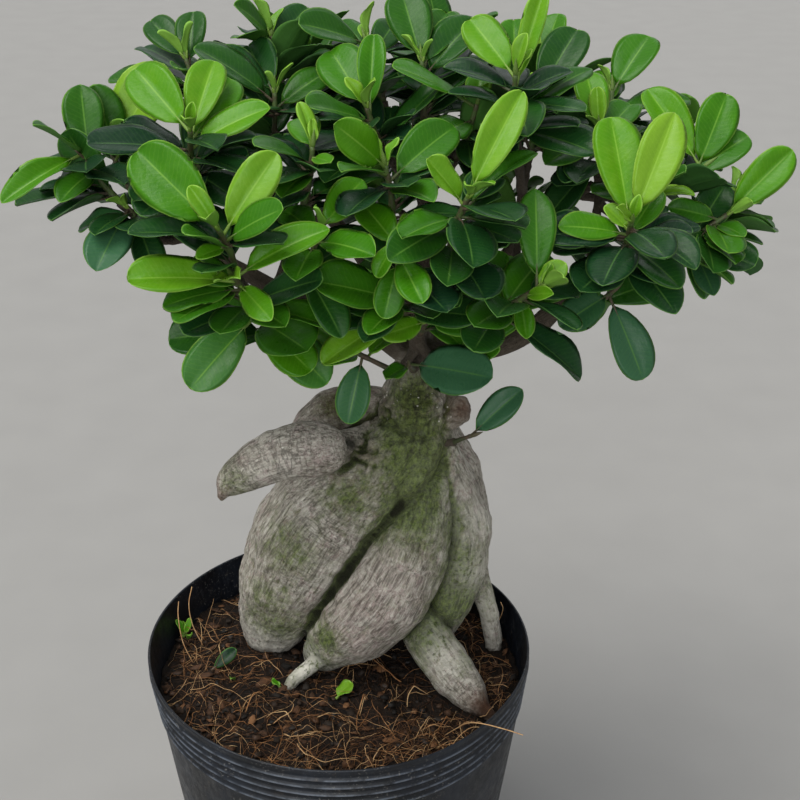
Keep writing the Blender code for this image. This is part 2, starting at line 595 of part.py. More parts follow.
class Crown:
    """Keeps what has been placed, and finds free room for each new leaf."""

    def __init__(self, twigs):
        self.solids = []
        self.twigs = twigs
        self.leaves = {shoot.name: [] for shoot in SHOOTS}
        for route in BRANCHES.values():
            self.add_tube("rootstock", smooth_route(route, 2))
        for name, route in ROOTS.items():
            self.add_tube("rootstock", route)
        for name, twig in twigs.items():
            self.add_tube("rootstock", twig.stub)
            self.add_tube(name, twig_route(twig))

    def add_tube(self, owner, route):
        points = [Vector(p).xyz for p in route]
        centre = sum(points, Vector()) / len(points)
        reach = max((p - centre).length for p in points) + max(p[3] for p in route) + 2
        self.solids.append((owner, centre, reach, tube_probe(route, FREE_SPACE), None))

    def is_free(self, owner, leaf):
        centre = leaf.base + leaf.aim * leaf.length / 2
        reach = leaf.length / 2 + 2
        whole = leaf_probe(leaf, 0.0, FREE_SPACE)
        blade = leaf_probe(leaf, 0.3, FREE_SPACE / 2)
        for other, place, size, solid, solid_blade in self.solids:
            if (place - centre).length > reach + size:
                continue
            if other != owner:
                if solid.overlap(whole):
                    return False
            elif solid_blade and solid_blade.overlap(blade):
                return False
        return True

    def place(self, shoot, base, aim, normal, length, rng):
        """Adds a leaf near the wanted one, turned or shortened until it is free."""
        bend = math.radians(rng.uniform(*LEAF_BEND))
        fold = math.radians(rng.uniform(*LEAF_FOLD))
        ratio = LEAF_RATIO * rng.uniform(*RATIO_SPREAD)
        for attempt in range(FREE_TRIES):
            spread = math.radians(TURN_PER_TRY * attempt)
            turn = Quaternion(normal, rng.uniform(-1, 1) * spread)
            tilt = Quaternion(aim.cross(normal), rng.uniform(-1, 1) * spread)
            size = length * (1 - SHRINK_PER_TRY * attempt)
            new_aim = (turn @ tilt @ aim).normalized()
            leaf = Leaf(base, new_aim, across(normal, new_aim), size, size * ratio, bend, fold)
            if self.is_free(shoot.name, leaf):
                centre = leaf.base + leaf.aim * leaf.length / 2
                self.solids.append((shoot.name, centre, leaf.length / 2 + 2,
                                    leaf_probe(leaf, 0.0, 0.3), leaf_probe(leaf, 0.3, 0.1)))
                self.leaves[shoot.name].append(leaf)
                return

    def place_seen_leaves(self, shoot, rng):
        twig = self.twigs[shoot.name]
        for i, (azimuth, rise, length, roll) in enumerate(shoot.leaves):
            base = twig.tip.lerp(twig.middle, FIRST_LEAF + SEEN_LEAF_STEP * i)
            aim = direction(azimuth, rise)
            normal = Quaternion(aim, math.radians(roll)) @ across(UP, aim)
            self.place(shoot, base, aim, normal, length, rng)

    def place_other_leaves(self, shoot, rng):
        """Leaves in a golden-angle spiral, steeper and smaller toward the tip."""
        twig = self.twigs[shoot.name]
        axis = (twig.tip - twig.middle).normalized()
        side = across(Vector((0.2, 1, 0.1)), axis)
        first_turn = rng.uniform(0, 360)
        missing = shoot.count - len(shoot.leaves)
        top = 1.0 if not shoot.leaves else 0.5
        for i in range(missing):
            share = FIRST_LEAF + (top - 0.2) * i / max(1, shoot.count - 1)
            base = twig.start.lerp(twig.tip, share)
            opening = OPEN_AT_FOOT + (OPEN_AT_TIP - OPEN_AT_FOOT) * share
            open_angle = math.radians(opening + rng.uniform(-OPEN_JITTER, OPEN_JITTER))
            turn = first_turn + GOLDEN_ANGLE * i + rng.uniform(-SPIN_JITTER, SPIN_JITTER)
            spin = math.radians(turn)
            out = Quaternion(axis, spin) @ side
            aim = (axis * math.cos(open_angle) + out * math.sin(open_angle)).normalized()
            size = SIZE_AT_FOOT + (SIZE_AT_TIP - SIZE_AT_FOOT) * share
            length = LEAF_LENGTH * size * rng.uniform(*SIZE_SPREAD)
            normal = across(axis + 0.5 * UP, aim)
            self.place(shoot, base, aim, normal, length, rng)


def grow_crown(twigs):
    crown = Crown(twigs)
    for i, shoot in enumerate(SHOOTS):
        crown.place_seen_leaves(shoot, random.Random(SEED + 10 * i))
    for i, shoot in enumerate(SHOOTS):
        crown.place_other_leaves(shoot, random.Random(SEED + 10 * i + 5))
    return crown.leaves


def leaf_blade(name, leaf, group):
    """One blade: a five-sided fan moved onto the leaf's surface, and its pointed foot."""
    bm = bmesh.new()
    bmesh.ops.create_circle(bm, cap_ends=True, cap_tris=True, segments=len(BLADE_RIM), radius=1.0)
    for vertex, (along, side) in zip(bm.verts, ((BLADE_MIDDLE, 0), *BLADE_RIM)):
        vertex.co = leaf_point(leaf, along, side) * MM
    bm.verts.ensure_lookup_table()
    left, right = bm.verts[1], bm.verts[-1]
    bm.faces.new((left, right, bm.verts.new(leaf.base * MM)))
    obj = object_from_bmesh(name, bm, group)
    solidify = obj.modifiers.new("Thickness", "SOLIDIFY")
    solidify.thickness = LEAF_THICK * MM
    solidify.offset = 0.0
    return obj


def make_shoot(shoot, twig, leaves, parts):
    obj = tube("shoot_" + shoot.name, twig_route(twig), parts, 0)
    group = new_collection("leaves")
    for i, leaf in enumerate(leaves):
        leaf_blade(f"leaf_{i}", leaf, group)
    join_group(obj, group)
    return obj


def make_rootstock(twigs, parts, cutters):
    """The roots, neck and branches as one body, with the cutter for their socket."""
    body = make_root_body(parts)
    cutter = make_root_cutter(body, cutters)
    group = new_collection("branches")
    for name, route in BRANCHES.items():
        tube(name, smooth_route(route, BRANCH_STEPS), group, 1)
    for name, twig in twigs.items():
        tube("stub " + name, twig.stub, group, 0)
    join_group(body, group)
    return body, cutter


def main():
    clear_scene()
    parts = new_collection("ginseng_ficus")
    cutters = new_collection("cutters")
    twigs = plan_twigs()
    leaves = grow_crown(twigs)
    rootstock, socket = make_rootstock(twigs, parts, cutters)
    rootstock.data.materials.append(new_material("bark", BARK_FINISH))
    pot = make_pot(parts, cutters)
    pot.data.materials.append(new_material("black_plastic", POT_FINISH))
    soil = make_soil(parts, socket)
    soil.data.materials.append(new_material("coir_soil", SOIL_FINISH))
    young = new_material("young_leaf", BRIGHT_LEAF_FINISH)
    old = new_material("old_leaf", DARK_LEAF_FINISH)
    for shoot in SHOOTS:
        obj = make_shoot(shoot, twigs[shoot.name], leaves[shoot.name], parts)
        obj.data.materials.append(young if shoot.name in BRIGHT_SHOOTS else old)


main()
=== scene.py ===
import json
import math
import random
from collections import namedtuple

import bmesh
import bpy
import numpy as np
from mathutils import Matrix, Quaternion, Vector, noise
from mathutils.bvhtree import BVHTree


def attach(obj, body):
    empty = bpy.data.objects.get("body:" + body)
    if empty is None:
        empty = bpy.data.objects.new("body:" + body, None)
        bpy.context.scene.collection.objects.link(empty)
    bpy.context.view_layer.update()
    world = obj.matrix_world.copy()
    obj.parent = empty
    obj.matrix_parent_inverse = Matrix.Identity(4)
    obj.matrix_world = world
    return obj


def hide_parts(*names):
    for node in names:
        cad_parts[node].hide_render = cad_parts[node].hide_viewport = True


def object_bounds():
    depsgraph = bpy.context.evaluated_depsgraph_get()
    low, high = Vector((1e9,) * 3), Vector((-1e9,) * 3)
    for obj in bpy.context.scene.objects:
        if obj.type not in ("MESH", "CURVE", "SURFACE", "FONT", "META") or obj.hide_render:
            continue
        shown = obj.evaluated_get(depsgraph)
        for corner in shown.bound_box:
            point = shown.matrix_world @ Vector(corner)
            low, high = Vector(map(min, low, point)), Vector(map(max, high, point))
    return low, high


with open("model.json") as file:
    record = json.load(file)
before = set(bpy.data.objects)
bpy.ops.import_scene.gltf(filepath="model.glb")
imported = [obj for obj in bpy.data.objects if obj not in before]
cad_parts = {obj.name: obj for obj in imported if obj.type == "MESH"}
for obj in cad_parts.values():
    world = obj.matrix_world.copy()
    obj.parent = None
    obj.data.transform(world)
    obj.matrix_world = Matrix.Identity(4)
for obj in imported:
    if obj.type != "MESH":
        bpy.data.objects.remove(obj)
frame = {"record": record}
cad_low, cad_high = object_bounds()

# Ginseng ficus, the looks: fine leaves, bark, pot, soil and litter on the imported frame.
#
# Blender 4.5. The values and functions that plan the plant are the ones its solids are built
# from, so every leaf and root here lies where its solid does. Sizes are in millimetres and
# angles in degrees unless a name says otherwise; the objects are in metres. The long tables
# of roots, branches, shoots and marks on the bark were measured one by one from the photo.

MM = 0.001
SEED = 7
UP = Vector((0, 0, 1))

# Pot
POT_RIM_R = 110.0
POT_BASE_R = 86.0
POT_HEIGHT = 185.0
POT_WALL = 1.2
POT_FLOOR = 2.0
RIB_COUNT = 5
RIB_TOP_Z = 178.0
RIB_PITCH = 5.5
RIB_PROUD = 0.9
RIM_TILT = 2.5
DENT = 2.2
DENT_AZIMUTH = -36.0
DENT_SPREAD = 22.0
DRAIN_HOLES = 5
DRAIN_HOLE_R = 4.5
DRAIN_CIRCLE_R = 60.0
DRAIN_TURN = 0.37

# Soil
SOIL_EDGE_Z = 161.0
SOIL_MOUND = 2.0
SOIL_LUMP = 3.0
SOIL_LUMP_SPANS = (24.0, 11.0)
FIT_GAP = 0.4

# Swollen roots: each is a chain of points (x, y, z, radius)
ROOTS = {
    "left lobe": ((37, 16, 312, 15), (29, 9, 302, 19), (17, 12, 286, 26), (0, 23, 264, 35),
                  (-15, 25, 238, 37), (-28, 26, 211, 32), (-38, 30, 187, 24), (-45, 34, 165, 16),
                  (-50, 38, 142, 9), (-52, 42, 122, 4)),
    "front lobe": ((50, 16, 288, 13), (47, 4, 268, 18), (39, -4, 246, 23), (27, -5, 222, 26),
                   (12, -2, 201, 24), (-2, 4, 184, 18), (-11, 10, 168, 12), (-15, 18, 142, 5)),
    "right lobe": ((52, 24, 310, 12), (57, 23, 292, 13), (62, 21, 271, 19), (66, 19, 249, 21.5),
                   (65, 17, 228, 21), (61, 16, 207, 18), (56, 18, 187, 14), (52, 23, 166, 9),
                   (50, 28, 146, 5)),
    "core": ((42, 36, 296, 26), (36, 42, 268, 32), (32, 44, 238, 34), (28, 44, 208, 30)),
    "leg": ((38, 14, 205, 13), (47, 1, 193, 13.5), (55, -9, 184, 13.5), (64, -19, 176, 13),
            (72, -26, 169, 11), (76, -30, 166, 9), (80, -34, 163, 5.5), (85, -37, 161, 3.5),
            (89, -39, 153, 3)),
    "toe": ((4, 6, 184, 10), (-9, -2, 176, 6), (-19, -8, 170, 4.5), (-27, -13, 166, 4),
            (-32, -16, 158, 3.5), (-36, -18, 147, 3)),
    "thin right root": ((74, 34, 224, 11), (82, 28, 204, 7), (88, 25, 185, 6), (91, 26, 166, 5.5),
                        (92, 28, 146, 3.5)),
    "back left lobe": ((36, 44, 300, 22), (20, 54, 272, 27), (0, 60, 240, 27), (-14, 64, 206, 22),
                       (-21, 67, 176, 14), (-24, 69, 148, 6)),
    "back right lobe": ((50, 44, 296, 18), (60, 54, 270, 21), (64, 62, 236, 24), (60, 69, 202, 19),
                        (56, 74, 172, 12), (54, 76, 144, 5)),
    "arm": ((-7, -13, 317, 14.5), (-17, -16, 319, 15), (-29, -18, 317, 14),
            (-40, -20, 312, 12.5), (-49, -21, 307, 10), (-53, -22, 304, 8.5)),
    "arm root": ((26, 20, 306, 12), (12, 10, 308, 10), (-2, -4, 313, 10)),
    "shoulder": ((26, 38, 314, 13), (11, 38, 316, 14), (-3, 37, 314, 13.5), (-14, 37, 306, 11.5),
                 (-22, 38, 298, 8)),
    "neck": ((42, 26, 292, 23), (43, 22, 312, 20.5), (44, 20, 330, 19.5), (44, 18, 345, 15),
             (44, 16, 358, 11), (44, 15, 370, 8)),
    "cut stub": ((54, 20, 320, 10), (61, 17, 324, 9), (65, 15, 326, 8)),
}

# Roots that only the looks have: a saddle below the neck, and the arm's crooked tip
FILLERS = (((31, 0, 272, 4), (35, 1, 280, 7), (39, 3, 289, 10), (43, 8, 300, 13),
            (44, 12, 310, 15)),
           ((-51, -22, 305, 8.5), (-56, -24, 302, 6), (-58, -25, 299, 4), (-59, -26, 296, 2.5)))

# Main branches: chains of points (x, y, z, radius)
BRANCHES = {
    "right": ((45, 15, 358, 8), (63, -2, 368, 6.5), (83, -18, 379, 6), (104, -20, 392, 5.5),
              (126, -18, 417, 4.5), (155, -8, 432, 3.5)),
    "left": ((45, 16, 356, 8), (20, 8, 376, 6), (-15, -5, 398, 5), (-48, -12, 420, 4),
             (-76, -12, 440, 3.2)),
    "front left": ((-13, -4, 397, 4), (-22, -34, 408, 3.6), (-25, -58, 424, 3)),
    "front": ((45, 14, 360, 7), (44, -14, 376, 5), (42, -34, 398, 4), (38, -50, 420, 3)),
    "middle": ((45, 15, 360, 8), (46, 18, 392, 6), (48, 15, 430, 5), (48, 8, 462, 4)),
    "back left": ((44, 18, 360, 7), (25, 45, 386, 5), (0, 68, 414, 4), (-30, 82, 436, 3)),
    "back": ((47, 18, 360, 7), (50, 55, 388, 5), (48, 88, 418, 4), (42, 108, 440, 3)),
    "back right": ((48, 17, 360, 7), (78, 42, 388, 5), (110, 60, 418, 4), (138, 68, 436, 3)),
    "thin upright": ((90, -19, 383, 4), (93, -6, 402, 3), (94, 12, 430, 2.8), (96, 14, 456, 2.6)),
    "right upright": ((124, -18, 415, 4), (130, -6, 436, 3), (134, 10, 458, 2.6)),
    "left upright": ((-13, -4, 397, 4), (-26, 10, 428, 3.4), (-32, 16, 462, 2.8)),
}

# Shoots
TWIG_LENGTH = 30.0
TWIG_MIN = 12.0
TWIG_R = 1.9
TWIG_TIP_R = 1.1
STUB_R = 2.1
STUB_MIN = 9.0
STUB_ROOT_R = 2.9
STUB_KNEE = 0.4
TWIG_SWAY = 0.04
END_GAP = 0.35
SHOOT_LIFT = 0.5

# Leaves, as the solids have them
LEAF_LENGTH = 45.0
LEAF_RATIO = 0.58
PETIOLE_SHARE = 0.15
PETIOLE_HALF = 0.9
LEAF_BEND = (12, 30)
LEAF_FOLD = (8, 18)
RATIO_SPREAD = (0.86, 1.12)
EGG_PEAK = 0.41
GOLDEN_ANGLE = 137.5
SPIN_JITTER = 15.0
OPEN_AT_FOOT = 78.0
OPEN_AT_TIP = 30.0
OPEN_JITTER = 8.0
SIZE_AT_FOOT = 1.05
SIZE_AT_TIP = 0.85
SIZE_SPREAD = (0.9, 1.08)
FIRST_LEAF = 0.12
SEEN_LEAF_STEP = 0.22
FREE_SPACE = 0.9
FREE_TRIES = 26
TURN_PER_TRY = 4.0
SHRINK_PER_TRY = 0.012

Leaf = namedtuple("Leaf", "base aim normal length width bend fold")
Twig = namedtuple("Twig", "start middle tip stub")
Shoot = namedtuple("Shoot", "name tip count leaves ages", defaults=((), ()))

# Each shoot: name, its tip (x, y, z), how many leaves it has, the leaves that show at the
# front as (azimuth, rise, length, roll), and those leaves' ages, from 0 for the youngest to 1
# for the oldest. The other leaves follow a rule.
SHOOTS = [Shoot(*row) for row in (
    ("low_front", (39, -43, 381), 2, ((-10, -8, 54, 50), (-125, 0, 20, -15)), (0.86, 0.6)),
    ("left_tip", (-117, -10, 477), 6, ((-140, -20, 46, -30), (-135, 40, 34, -10),
     (105, 60, 40, -5), (-115, -10, 30, -15)), (0.32, 0.6, 0.68, 0.6)),
    ("left_middle", (-108, 15, 469), 6, ((25, 55, 52, 50), (-105, 55, 38, -15), (120, 80, 44, 0),
     (-45, 35, 36, 50)), (0.04, 0.25, 0.6, 0.25)),
    ("left_low", (-94, -25, 454), 5, ((-105, -25, 42, -15), (170, -20, 30, -20),
     (-60, -45, 34, 15)), (0.85, 0.75, 0.8)),
    ("upper_left", (-56, -60, 500), 6, ((135, 30, 44, -40), (75, 40, 42, 15), (65, 30, 42, 25),
     (10, 25, 40, 30), (-110, -5, 38, -15)), (0.22, 0.14, 0.3, 0.25, 0.45)),
    ("top_left_outer", (-72, 40, 510), 6, ((130, 25, 36, -25), (85, 35, 34, 0), (55, 5, 34, 20),
     (-105, 20, 30, -10), (-180, 5, 44, -5)), (0.8, 0.75, 0.45, 0.7, 0.7)),
    ("top_left_inner", (-26, 15, 499), 6, ((115, 25, 40, -25), (-180, 35, 46, -20),
     (35, 25, 34, 25), (175, 55, 44, -30)), (0.8, 0.75, 0.6, 0.8)),
    ("crown_top_left", (-31, 60, 517), 5, ((-130, 40, 32, -55), (-95, 45, 36, -5),
     (55, 30, 36, 25)), (0.6, 0.6, 0.8)),
    ("centre_left_back", (19, -15, 499), 5, ((120, 30, 42, -25), (85, 45, 42, 0),
     (-140, 20, 40, -25)), (0.46, 0.42, 0.66)),
    ("crown_top_middle", (18, 40, 518), 5, ((-145, 20, 42, -40), (120, 15, 34, -10),
     (65, 25, 32, 20)), (0.72, 0.7, 0.8)),
    ("crown_top_right", (45, 15, 514), 5, ((110, 45, 40, -15), (70, 30, 42, 15),
     (40, 35, 42, 25)), (0.68, 0.6, 0.75)),
    ("back_bright", (87, -20, 515), 5, ((130, 35, 38, -35), (90, 45, 38, 0), (55, 55, 50, 20)),
     (0.18, 0.4, 0.18)),
    ("back_dark", (101, 20, 496), 5, ((50, 40, 44, 25), (55, 15, 38, 15), (120, 15, 36, -10)),
     (0.85, 0.85, 0.8)),
    ("back_right", (141, 40, 494), 6, ((45, 40, 38, 15), (140, 30, 38, -20), (95, 25, 30, -5),
     (15, 5, 44, 15)), (0.5, 0.7, 0.4, 0.6)),
    ("centre_left", (-4, -50, 490), 5, ((100, 35, 30, -10), (-55, 5, 16, 20), (-130, 25, 38, -20),
     (-110, -5, 32, -10)), (0.35, 0.3, 0.6, 0.55)),
    ("centre", (28, -55, 483), 5, ((-135, 40, 40, -85), (-115, 25, 38, -5), (40, 25, 44, 35),
     (-55, 5, 34, 15)), (0.3, 0.4, 0.5, 0.5)),
    ("centre_ridge", (71, -5, 498), 5, ((-175, 20, 46, -5), (75, 45, 24, 5), (-120, 0, 36, -15)),
     (0.45, 0.3, 0.6)),
    ("tall_leaf", (64, -75, 475), 6, ((45, 50, 54, 35), (-175, 40, 28, -50), (35, 25, 46, 0),
     (-145, 10, 42, -10), (-135, -10, 44, -30)), (0.06, 0.12, 0.55, 0.5, 0.75)),
    ("front_curl", (34, -88, 462), 6, ((-105, -10, 24, -10), (65, 15, 20, 15), (125, 25, 30, -20),
     (-60, 5, 34, 20), (-125, 0, 32, -15)), (0.35, 0.3, 0.35, 0.4, 0.5)),
    ("centre_left_front", (0, -80, 462), 5, ((55, 25, 36, 30), (125, 10, 28, -20),
     (-45, 5, 38, 25), (-100, -5, 34, -5)), (0.4, 0.5, 0.45, 0.55)),
    ("left_front", (-41, -100, 469), 6, ((150, 35, 50, -50), (30, 50, 42, 50), (-15, 35, 38, 40),
     (-140, -5, 16, -30), (-120, 30, 34, -15)), (0.42, 0.15, 0.42, 0.3, 0.55)),
    ("left_front_low", (-36, -100, 448), 6, ((10, 25, 46, 35), (-170, 5, 46, -30),
     (-55, -15, 28, 35), (150, 25, 26, -35)), (0.25, 0.14, 0.2, 0.5)),
    ("low_left", (-34, -60, 412), 6, ((-140, -35, 44, -35), (150, 5, 32, -20), (-35, -30, 36, 40),
     (15, 25, 22, 45), (-20, -40, 42, 40)), (0.33, 0.44, 0.36, 0.3, 0.4)),
    ("front_middle", (35, -75, 428), 5, ((130, 10, 32, -35), (-160, 20, 44, -40),
     (55, 20, 28, 20)), (0.36, 0.44, 0.14)),
    ("front_low", (47, -66, 413), 5, ((-150, -5, 24, -45), (20, 45, 36, 50), (-25, 15, 32, 55),
     (5, 40, 22, 45)), (0.14, 0.24, 0.44, 0.26)),
    ("low_middle", (12, -48, 390), 4, ((135, 10, 28, -30), (-125, 5, 30, -20),
     (-115, -60, 34, -20), (60, 5, 24, 10)), (0.34, 0.4, 0.6, 0.3)),
    ("low_right", (69, -55, 394), 4, ((15, 45, 38, 50), (125, 15, 28, -20), (-40, 55, 26, 60)),
     (0.36, 0.44, 0.4)),
    ("neck_sprout", (73, 3, 317), 1, ((12, 42, 38, 50),), (0.84,)),
    ("right_front", (96, -82, 436), 5, ((90, 55, 46, 0), (10, 40, 20, 50), (-50, 20, 18, 55),
     (-85, -30, 22, 0)), (0.52, 0.1, 0.2, 0.35)),
    ("right_low", (136, -35, 415), 5, ((-150, -20, 32, -50), (-50, -55, 44, 25),
     (100, 5, 34, -5)), (0.85, 0.85, 0.7)),
    ("pale_leaf", (137, -65, 460), 6, ((50, 55, 54, 35), (105, 55, 52, -10), (155, 40, 16, -35),
     (-170, 10, 34, -40), (45, 40, 28, 25)), (0.04, 0.19, 0.08, 0.4, 0.4)),
    ("right_back", (130, 0, 484), 5, ((100, 40, 36, -5), (-140, -10, 38, -20), (55, 20, 34, 15)),
     (0.28, 0.7, 0.6)),
    ("right_inner", (156, -10, 455), 5, ((60, 40, 34, 15), (-50, 40, 28, 20),
     (-150, 15, 34, -15)), (0.5, 0.55, 0.7)),
    ("right_high", (184, 8, 464), 6, ((130, 40, 50, -30), (50, 55, 42, 35), (20, 50, 38, 25),
     (120, 70, 44, -20)), (0.22, 0.35, 0.5, 0.6)),
    ("right_tip", (195, -5, 444), 5, ((30, 50, 46, 45), (-175, 15, 28, -50), (-60, 0, 22, 20),
     (-130, -25, 30, -25)), (0.27, 0.6, 0.5, 0.7)),
    ("right_far", (205, 35, 440), 5, ((15, 30, 36, 45), (-135, 40, 26, -55), (-60, 20, 30, 10)),
     (0.35, 0.5, 0.75)),
    ("right_under", (185, 5, 426), 5, ((-45, -5, 34, 30), (-70, -35, 30, 15),
     (-140, -20, 34, -30), (-145, 25, 24, -35)), (0.8, 0.85, 0.8, 0.6)),
    ("rear_left_low", (-88, 78, 452), 5), ("rear_left", (-56, 104, 474), 5),
    ("rear_left_inner", (-14, 88, 502), 6), ("rear_middle_left", (-8, 126, 474), 5),
    ("rear_middle", (42, 138, 474), 6), ("rear_middle_top", (56, 84, 506), 5),
    ("rear_middle_right", (90, 122, 472), 6), ("rear_right_inner", (106, 76, 498), 6),
    ("rear_right", (136, 104, 466), 5), ("rear_right_low", (176, 76, 454), 5),
    ("rear_under_left", (-46, 84, 424), 5), ("rear_under", (20, 112, 424), 5),
    ("rear_under_right", (92, 96, 426), 5),
)]

# Fine leaves
BLADE_ROWS = 12
BLADE_COLUMNS = 8
BLADE_START = 0.13
BLADE_HALF_THICK = 0.22
BLUNT_PEAK = 0.580
BLUNT_RATIO = 0.46
BLUNT_LEAST = 0.35
TIP_CROWDING = 1.6
TIP_POWER = (0.45, 0.68)
MIDRIB_GROOVE = 0.25
MIDRIB_KEEL = 0.5
MIDRIB_HALF = 0.8
EDGE_WAVE = (0.3, 1.2)
EDGE_BEATS = (7, 12)
CUP = (0.4, 1.4)
TWIST = 0.28
PETIOLE_R = 0.8
PETIOLE_DROP = 0.35
TWIG_THINNER = 0.78
TWIG_KNOT = 0.4
TWIG_KNOT_REACH = 1.6
BUD_LENGTH = 8.0
BUD_R = 1.25
# Share of the length, and share of the radius
PETIOLE_TAPER = ((0.06, 1.0), (0.11, 0.95), (0.17, 0.85), (0.25, 0.5))
BUD_SHAPE = ((-0.1, 0.7), (0.1, 0.95), (0.35, 1.0), (0.65, 0.62), (0.9, 0.22), (1.0, 0.05))

# Leaves that only the looks have
INNER_LEAVES = 14
INNER_TRIES = 22
INNER_LENGTH = (30, 45)
INNER_DROP = 9.0
INNER_RISE = 2.0
INNER_TIP_ROOM = 1.3
INNER_LEAN = (-0.1, 0.7)
INNER_LIFT = (-0.3, 0.3)
INNER_FACE_UP = 1.2
INNER_FACE_JITTER = 0.4
INNER_RATIO = (1.0, 1.2)
YOUNG_LEAVES = 2
YOUNG_TRIES = 8
YOUNG_LENGTH = (12, 22)
YOUNG_OPEN = (0.35, 0.9)
YOUNG_RATIO = 0.5
YOUNG_CURL = math.radians(25)
BARE_SHOOTS = ("neck_sprout", "low_front", "low_middle", "low_right", "front_low", "right_low")

# Leaves that curl up along their midrib, by shoot: place in its list, width share, fold
CURLS = {
    "tall_leaf": ((0, 0.72, 24), (1, 0.85, 30), (2, 0.9, 30)), "left_tip": ((0, 0.66, 26),),
    "pale_leaf": ((0, 0.76, 20), (1, 0.84, 18)), "back_bright": ((1, 0.85, 20), (2, 0.60, 28)),
    "right_high": ((0, 0.85, 22),), "right_tip": ((0, 0.78, 22),), "left_front": ((1, 0.84, 18),),
    "left_front_low": ((0, 0.85, 20), (1, 0.85, 18)), "right_front": ((0, 0.85, 12),),
    "upper_left": ((1, 0.9, 20),), "centre_left_back": ((1, 0.8, 26),),
    "crown_top_right": ((1, 0.85, 24),), "low_middle": ((2, 1.2, 10),),
}

# Old hanging leaves with a grey bloom and a painted pale sheen of the sky, by shoot: place in its
# list, and how strong it is
BLOOMS_AND_SHEEN = {
    "low_middle": ((2, 0.85),), "neck_sprout": ((0, 1.0),), "right_low": ((0, 0.5), (1, 1.0)),
    "low_front": ((0, 1.0),), "left_low": ((0, 1.0), (1, 0.5)), "right_under": ((1, 0.5),),
    "low_left": ((0, 0.45), (4, 0.4)),
}

# Ages of the leaves that aren't in the shoots' table
YOUNG_AGE = 0.1
REAR_AGES = (0.2, 0.35, 0.5, 0.6)
RULE_AGE = 0.45
FOOT_AGE = 0.42
AGE_JITTER = 0.08
# Painted shade: the inner leaves get old, dark colours, partly for their age, partly for the
# crown's shade
INNER_AGES_AND_SHADE = (0.80, 1.0)
LOW_INNER_AGES = (0.42, 0.9)
LOW_SHOOT_Z = 450.0

# Fine roots
SKIN_VOXEL = 1.42
SKIN_SMOOTH = 3
ROOT_SKIN_STEPS = 2
BRANCH_SKIN_STEPS = 4
ROOT_BALL_STEP = 2.5
BRANCH_BALL_STEP = 1.5
ROOT_BLEND = 2.5
STUB_STEPS = 10
STUB_KNOT = 0.25

# Wrinkles of the roots: height, what they follow, span, seed. Threads run along the roots.
WRINKLES = ((1.6, "place", 34.0, 1), (1.1, "place", 12.0, 2), (0.45, "place", 5.0, 5),
            (0.9, "ridges", 1.0, 7), (0.4, "folds", 1.0, 4))
THREAD_HEIGHT = 0.6
THREAD_SPAN = (2.6, 14.0)
RIDGE_SPAN = (6.5, 45.0)
FOLD_SPAN = (14.0, 4.0)
KNOT_HEIGHT = 7.0
KNOT_LEVEL = 0.25
KNOT_LUMPS = ((1.0, 6.5, 6), (0.5, 3.4, 8))
CREASE_DEEPER = 1.3
SEAM_DEEPER = 1.4
THICK_ROOT_R = 20.0
THIN_ROOT_SHARE = 0.12

# Hollows of the roots: rounds of softening that show them, and their full depth. The bark is
# painted dark in them as shade.
CREASE_BEFORE = (12, 1.2)
SEAM = (4, 0.42)
CREASE = (10, 1.5)
HOLLOW = (60, 2.2)
HOLLOW_ALGAE = 0.45
ALGAE_EVERYWHERE = 0.16

# Fine pot, soil and litter
POT_SKIN_SIDES = 144
POT_WOBBLE = 0.9
RIB_SAMPLES = 8
LIP_R = 0.75
FLOOR_RINGS = (6.0, 50.0)
FOOT = ((0.2, 1.6), (0.8, 0.6), (2.0, 0.0))
LIP_STEPS = 6
WALL_STEPS = 12
LOW_WALL_STEPS = 14
SOIL_SKIN_RINGS = 100
SOIL_SKIN_SIDES = 280
BIG_CLOD = (8.5, 3.6)
SMALL_CLOD = (3.4, 1.8)
CLOD_STEEPNESS = 1.4
CLOD_PATCH = 19.0
GRIT = ((4.5, 1.3), (2.0, 0.8))
LITTER_MARGIN = 4.0
FIBRES = 1500
TUFT_SHARE = 0.5
LYING_SHARE = 0.75
THIN_SHARE = 0.95
DARK_SHARE = 0.9
FIBRE_LIFTS = (0.4, 0.8, 1.5, 3.0)
HIGH_FIBRE_LIFT = (3.0, 9.0)
FIBRE_RADII = (0.10, 0.13, 0.16, 0.20, 0.27)
FIBRE_STEPS = (6, 11)
FIBRE_STRIDE = (1.6, 4.4)
FIBRE_TILT = (-0.5, 0.9)
FIBRE_BEND = 0.11
FIBRE_WANDER = 0.16
FIBRE_TAPER = 0.6
FIBRE_LEAST_STEPS = 4
STRAY_R = 0.28
CRUMBS = 1100
CRUMB_SIZE = (0.55, 1.9, 2.2)
CRUMB_SHADE = 0.75
CHIPS = 120
CHIP_SIZE = (1.2, 2.6)
CHIP_SHADE = (0.6, 1.0)
CHIP_LEAN = 0.35
# Height and length of a lump as shares of its width
CRUMB_FORM = ((0.5, 0.9), (1.0, 1.5))
CHIP_FORM = ((0.16, 0.3), (1.3, 2.4))

# Where fibres stand in tufts: x, y, spread, in mm
TUFTS = ((45, -62, 16), (20, -82, 14), (30, -72, 18), (-72, -22, 16), (-90, 20, 10),
         (85, -20, 10), (84, 46, 10), (-30, -70, 18), (66, -58, 10), (0, 86, 14))

# Fibres that reach up the pot's wall or over its rim: points in mm
STRAYS = (
    ((60, -58, 164), (66, -64, 174), (72, -70, 183), (80, -77, 188.5), (92, -82, 189),
     (101, -85, 188)),
    ((-84, 22, 162), (-90, 26, 174), (-92, 30, 186), (-90, 34, 196)),
    ((-88, 6, 162), (-94, 12, 172), (-97, 20, 184), (-98, 30, 188)),
    ((88, 34, 160), (94, 38, 170), (97, 36, 182), (95, 30, 192)),
    ((60, -74, 163), (66, -70, 172), (75, -64, 175), (86, -60, 170), (92, -54, 164)))

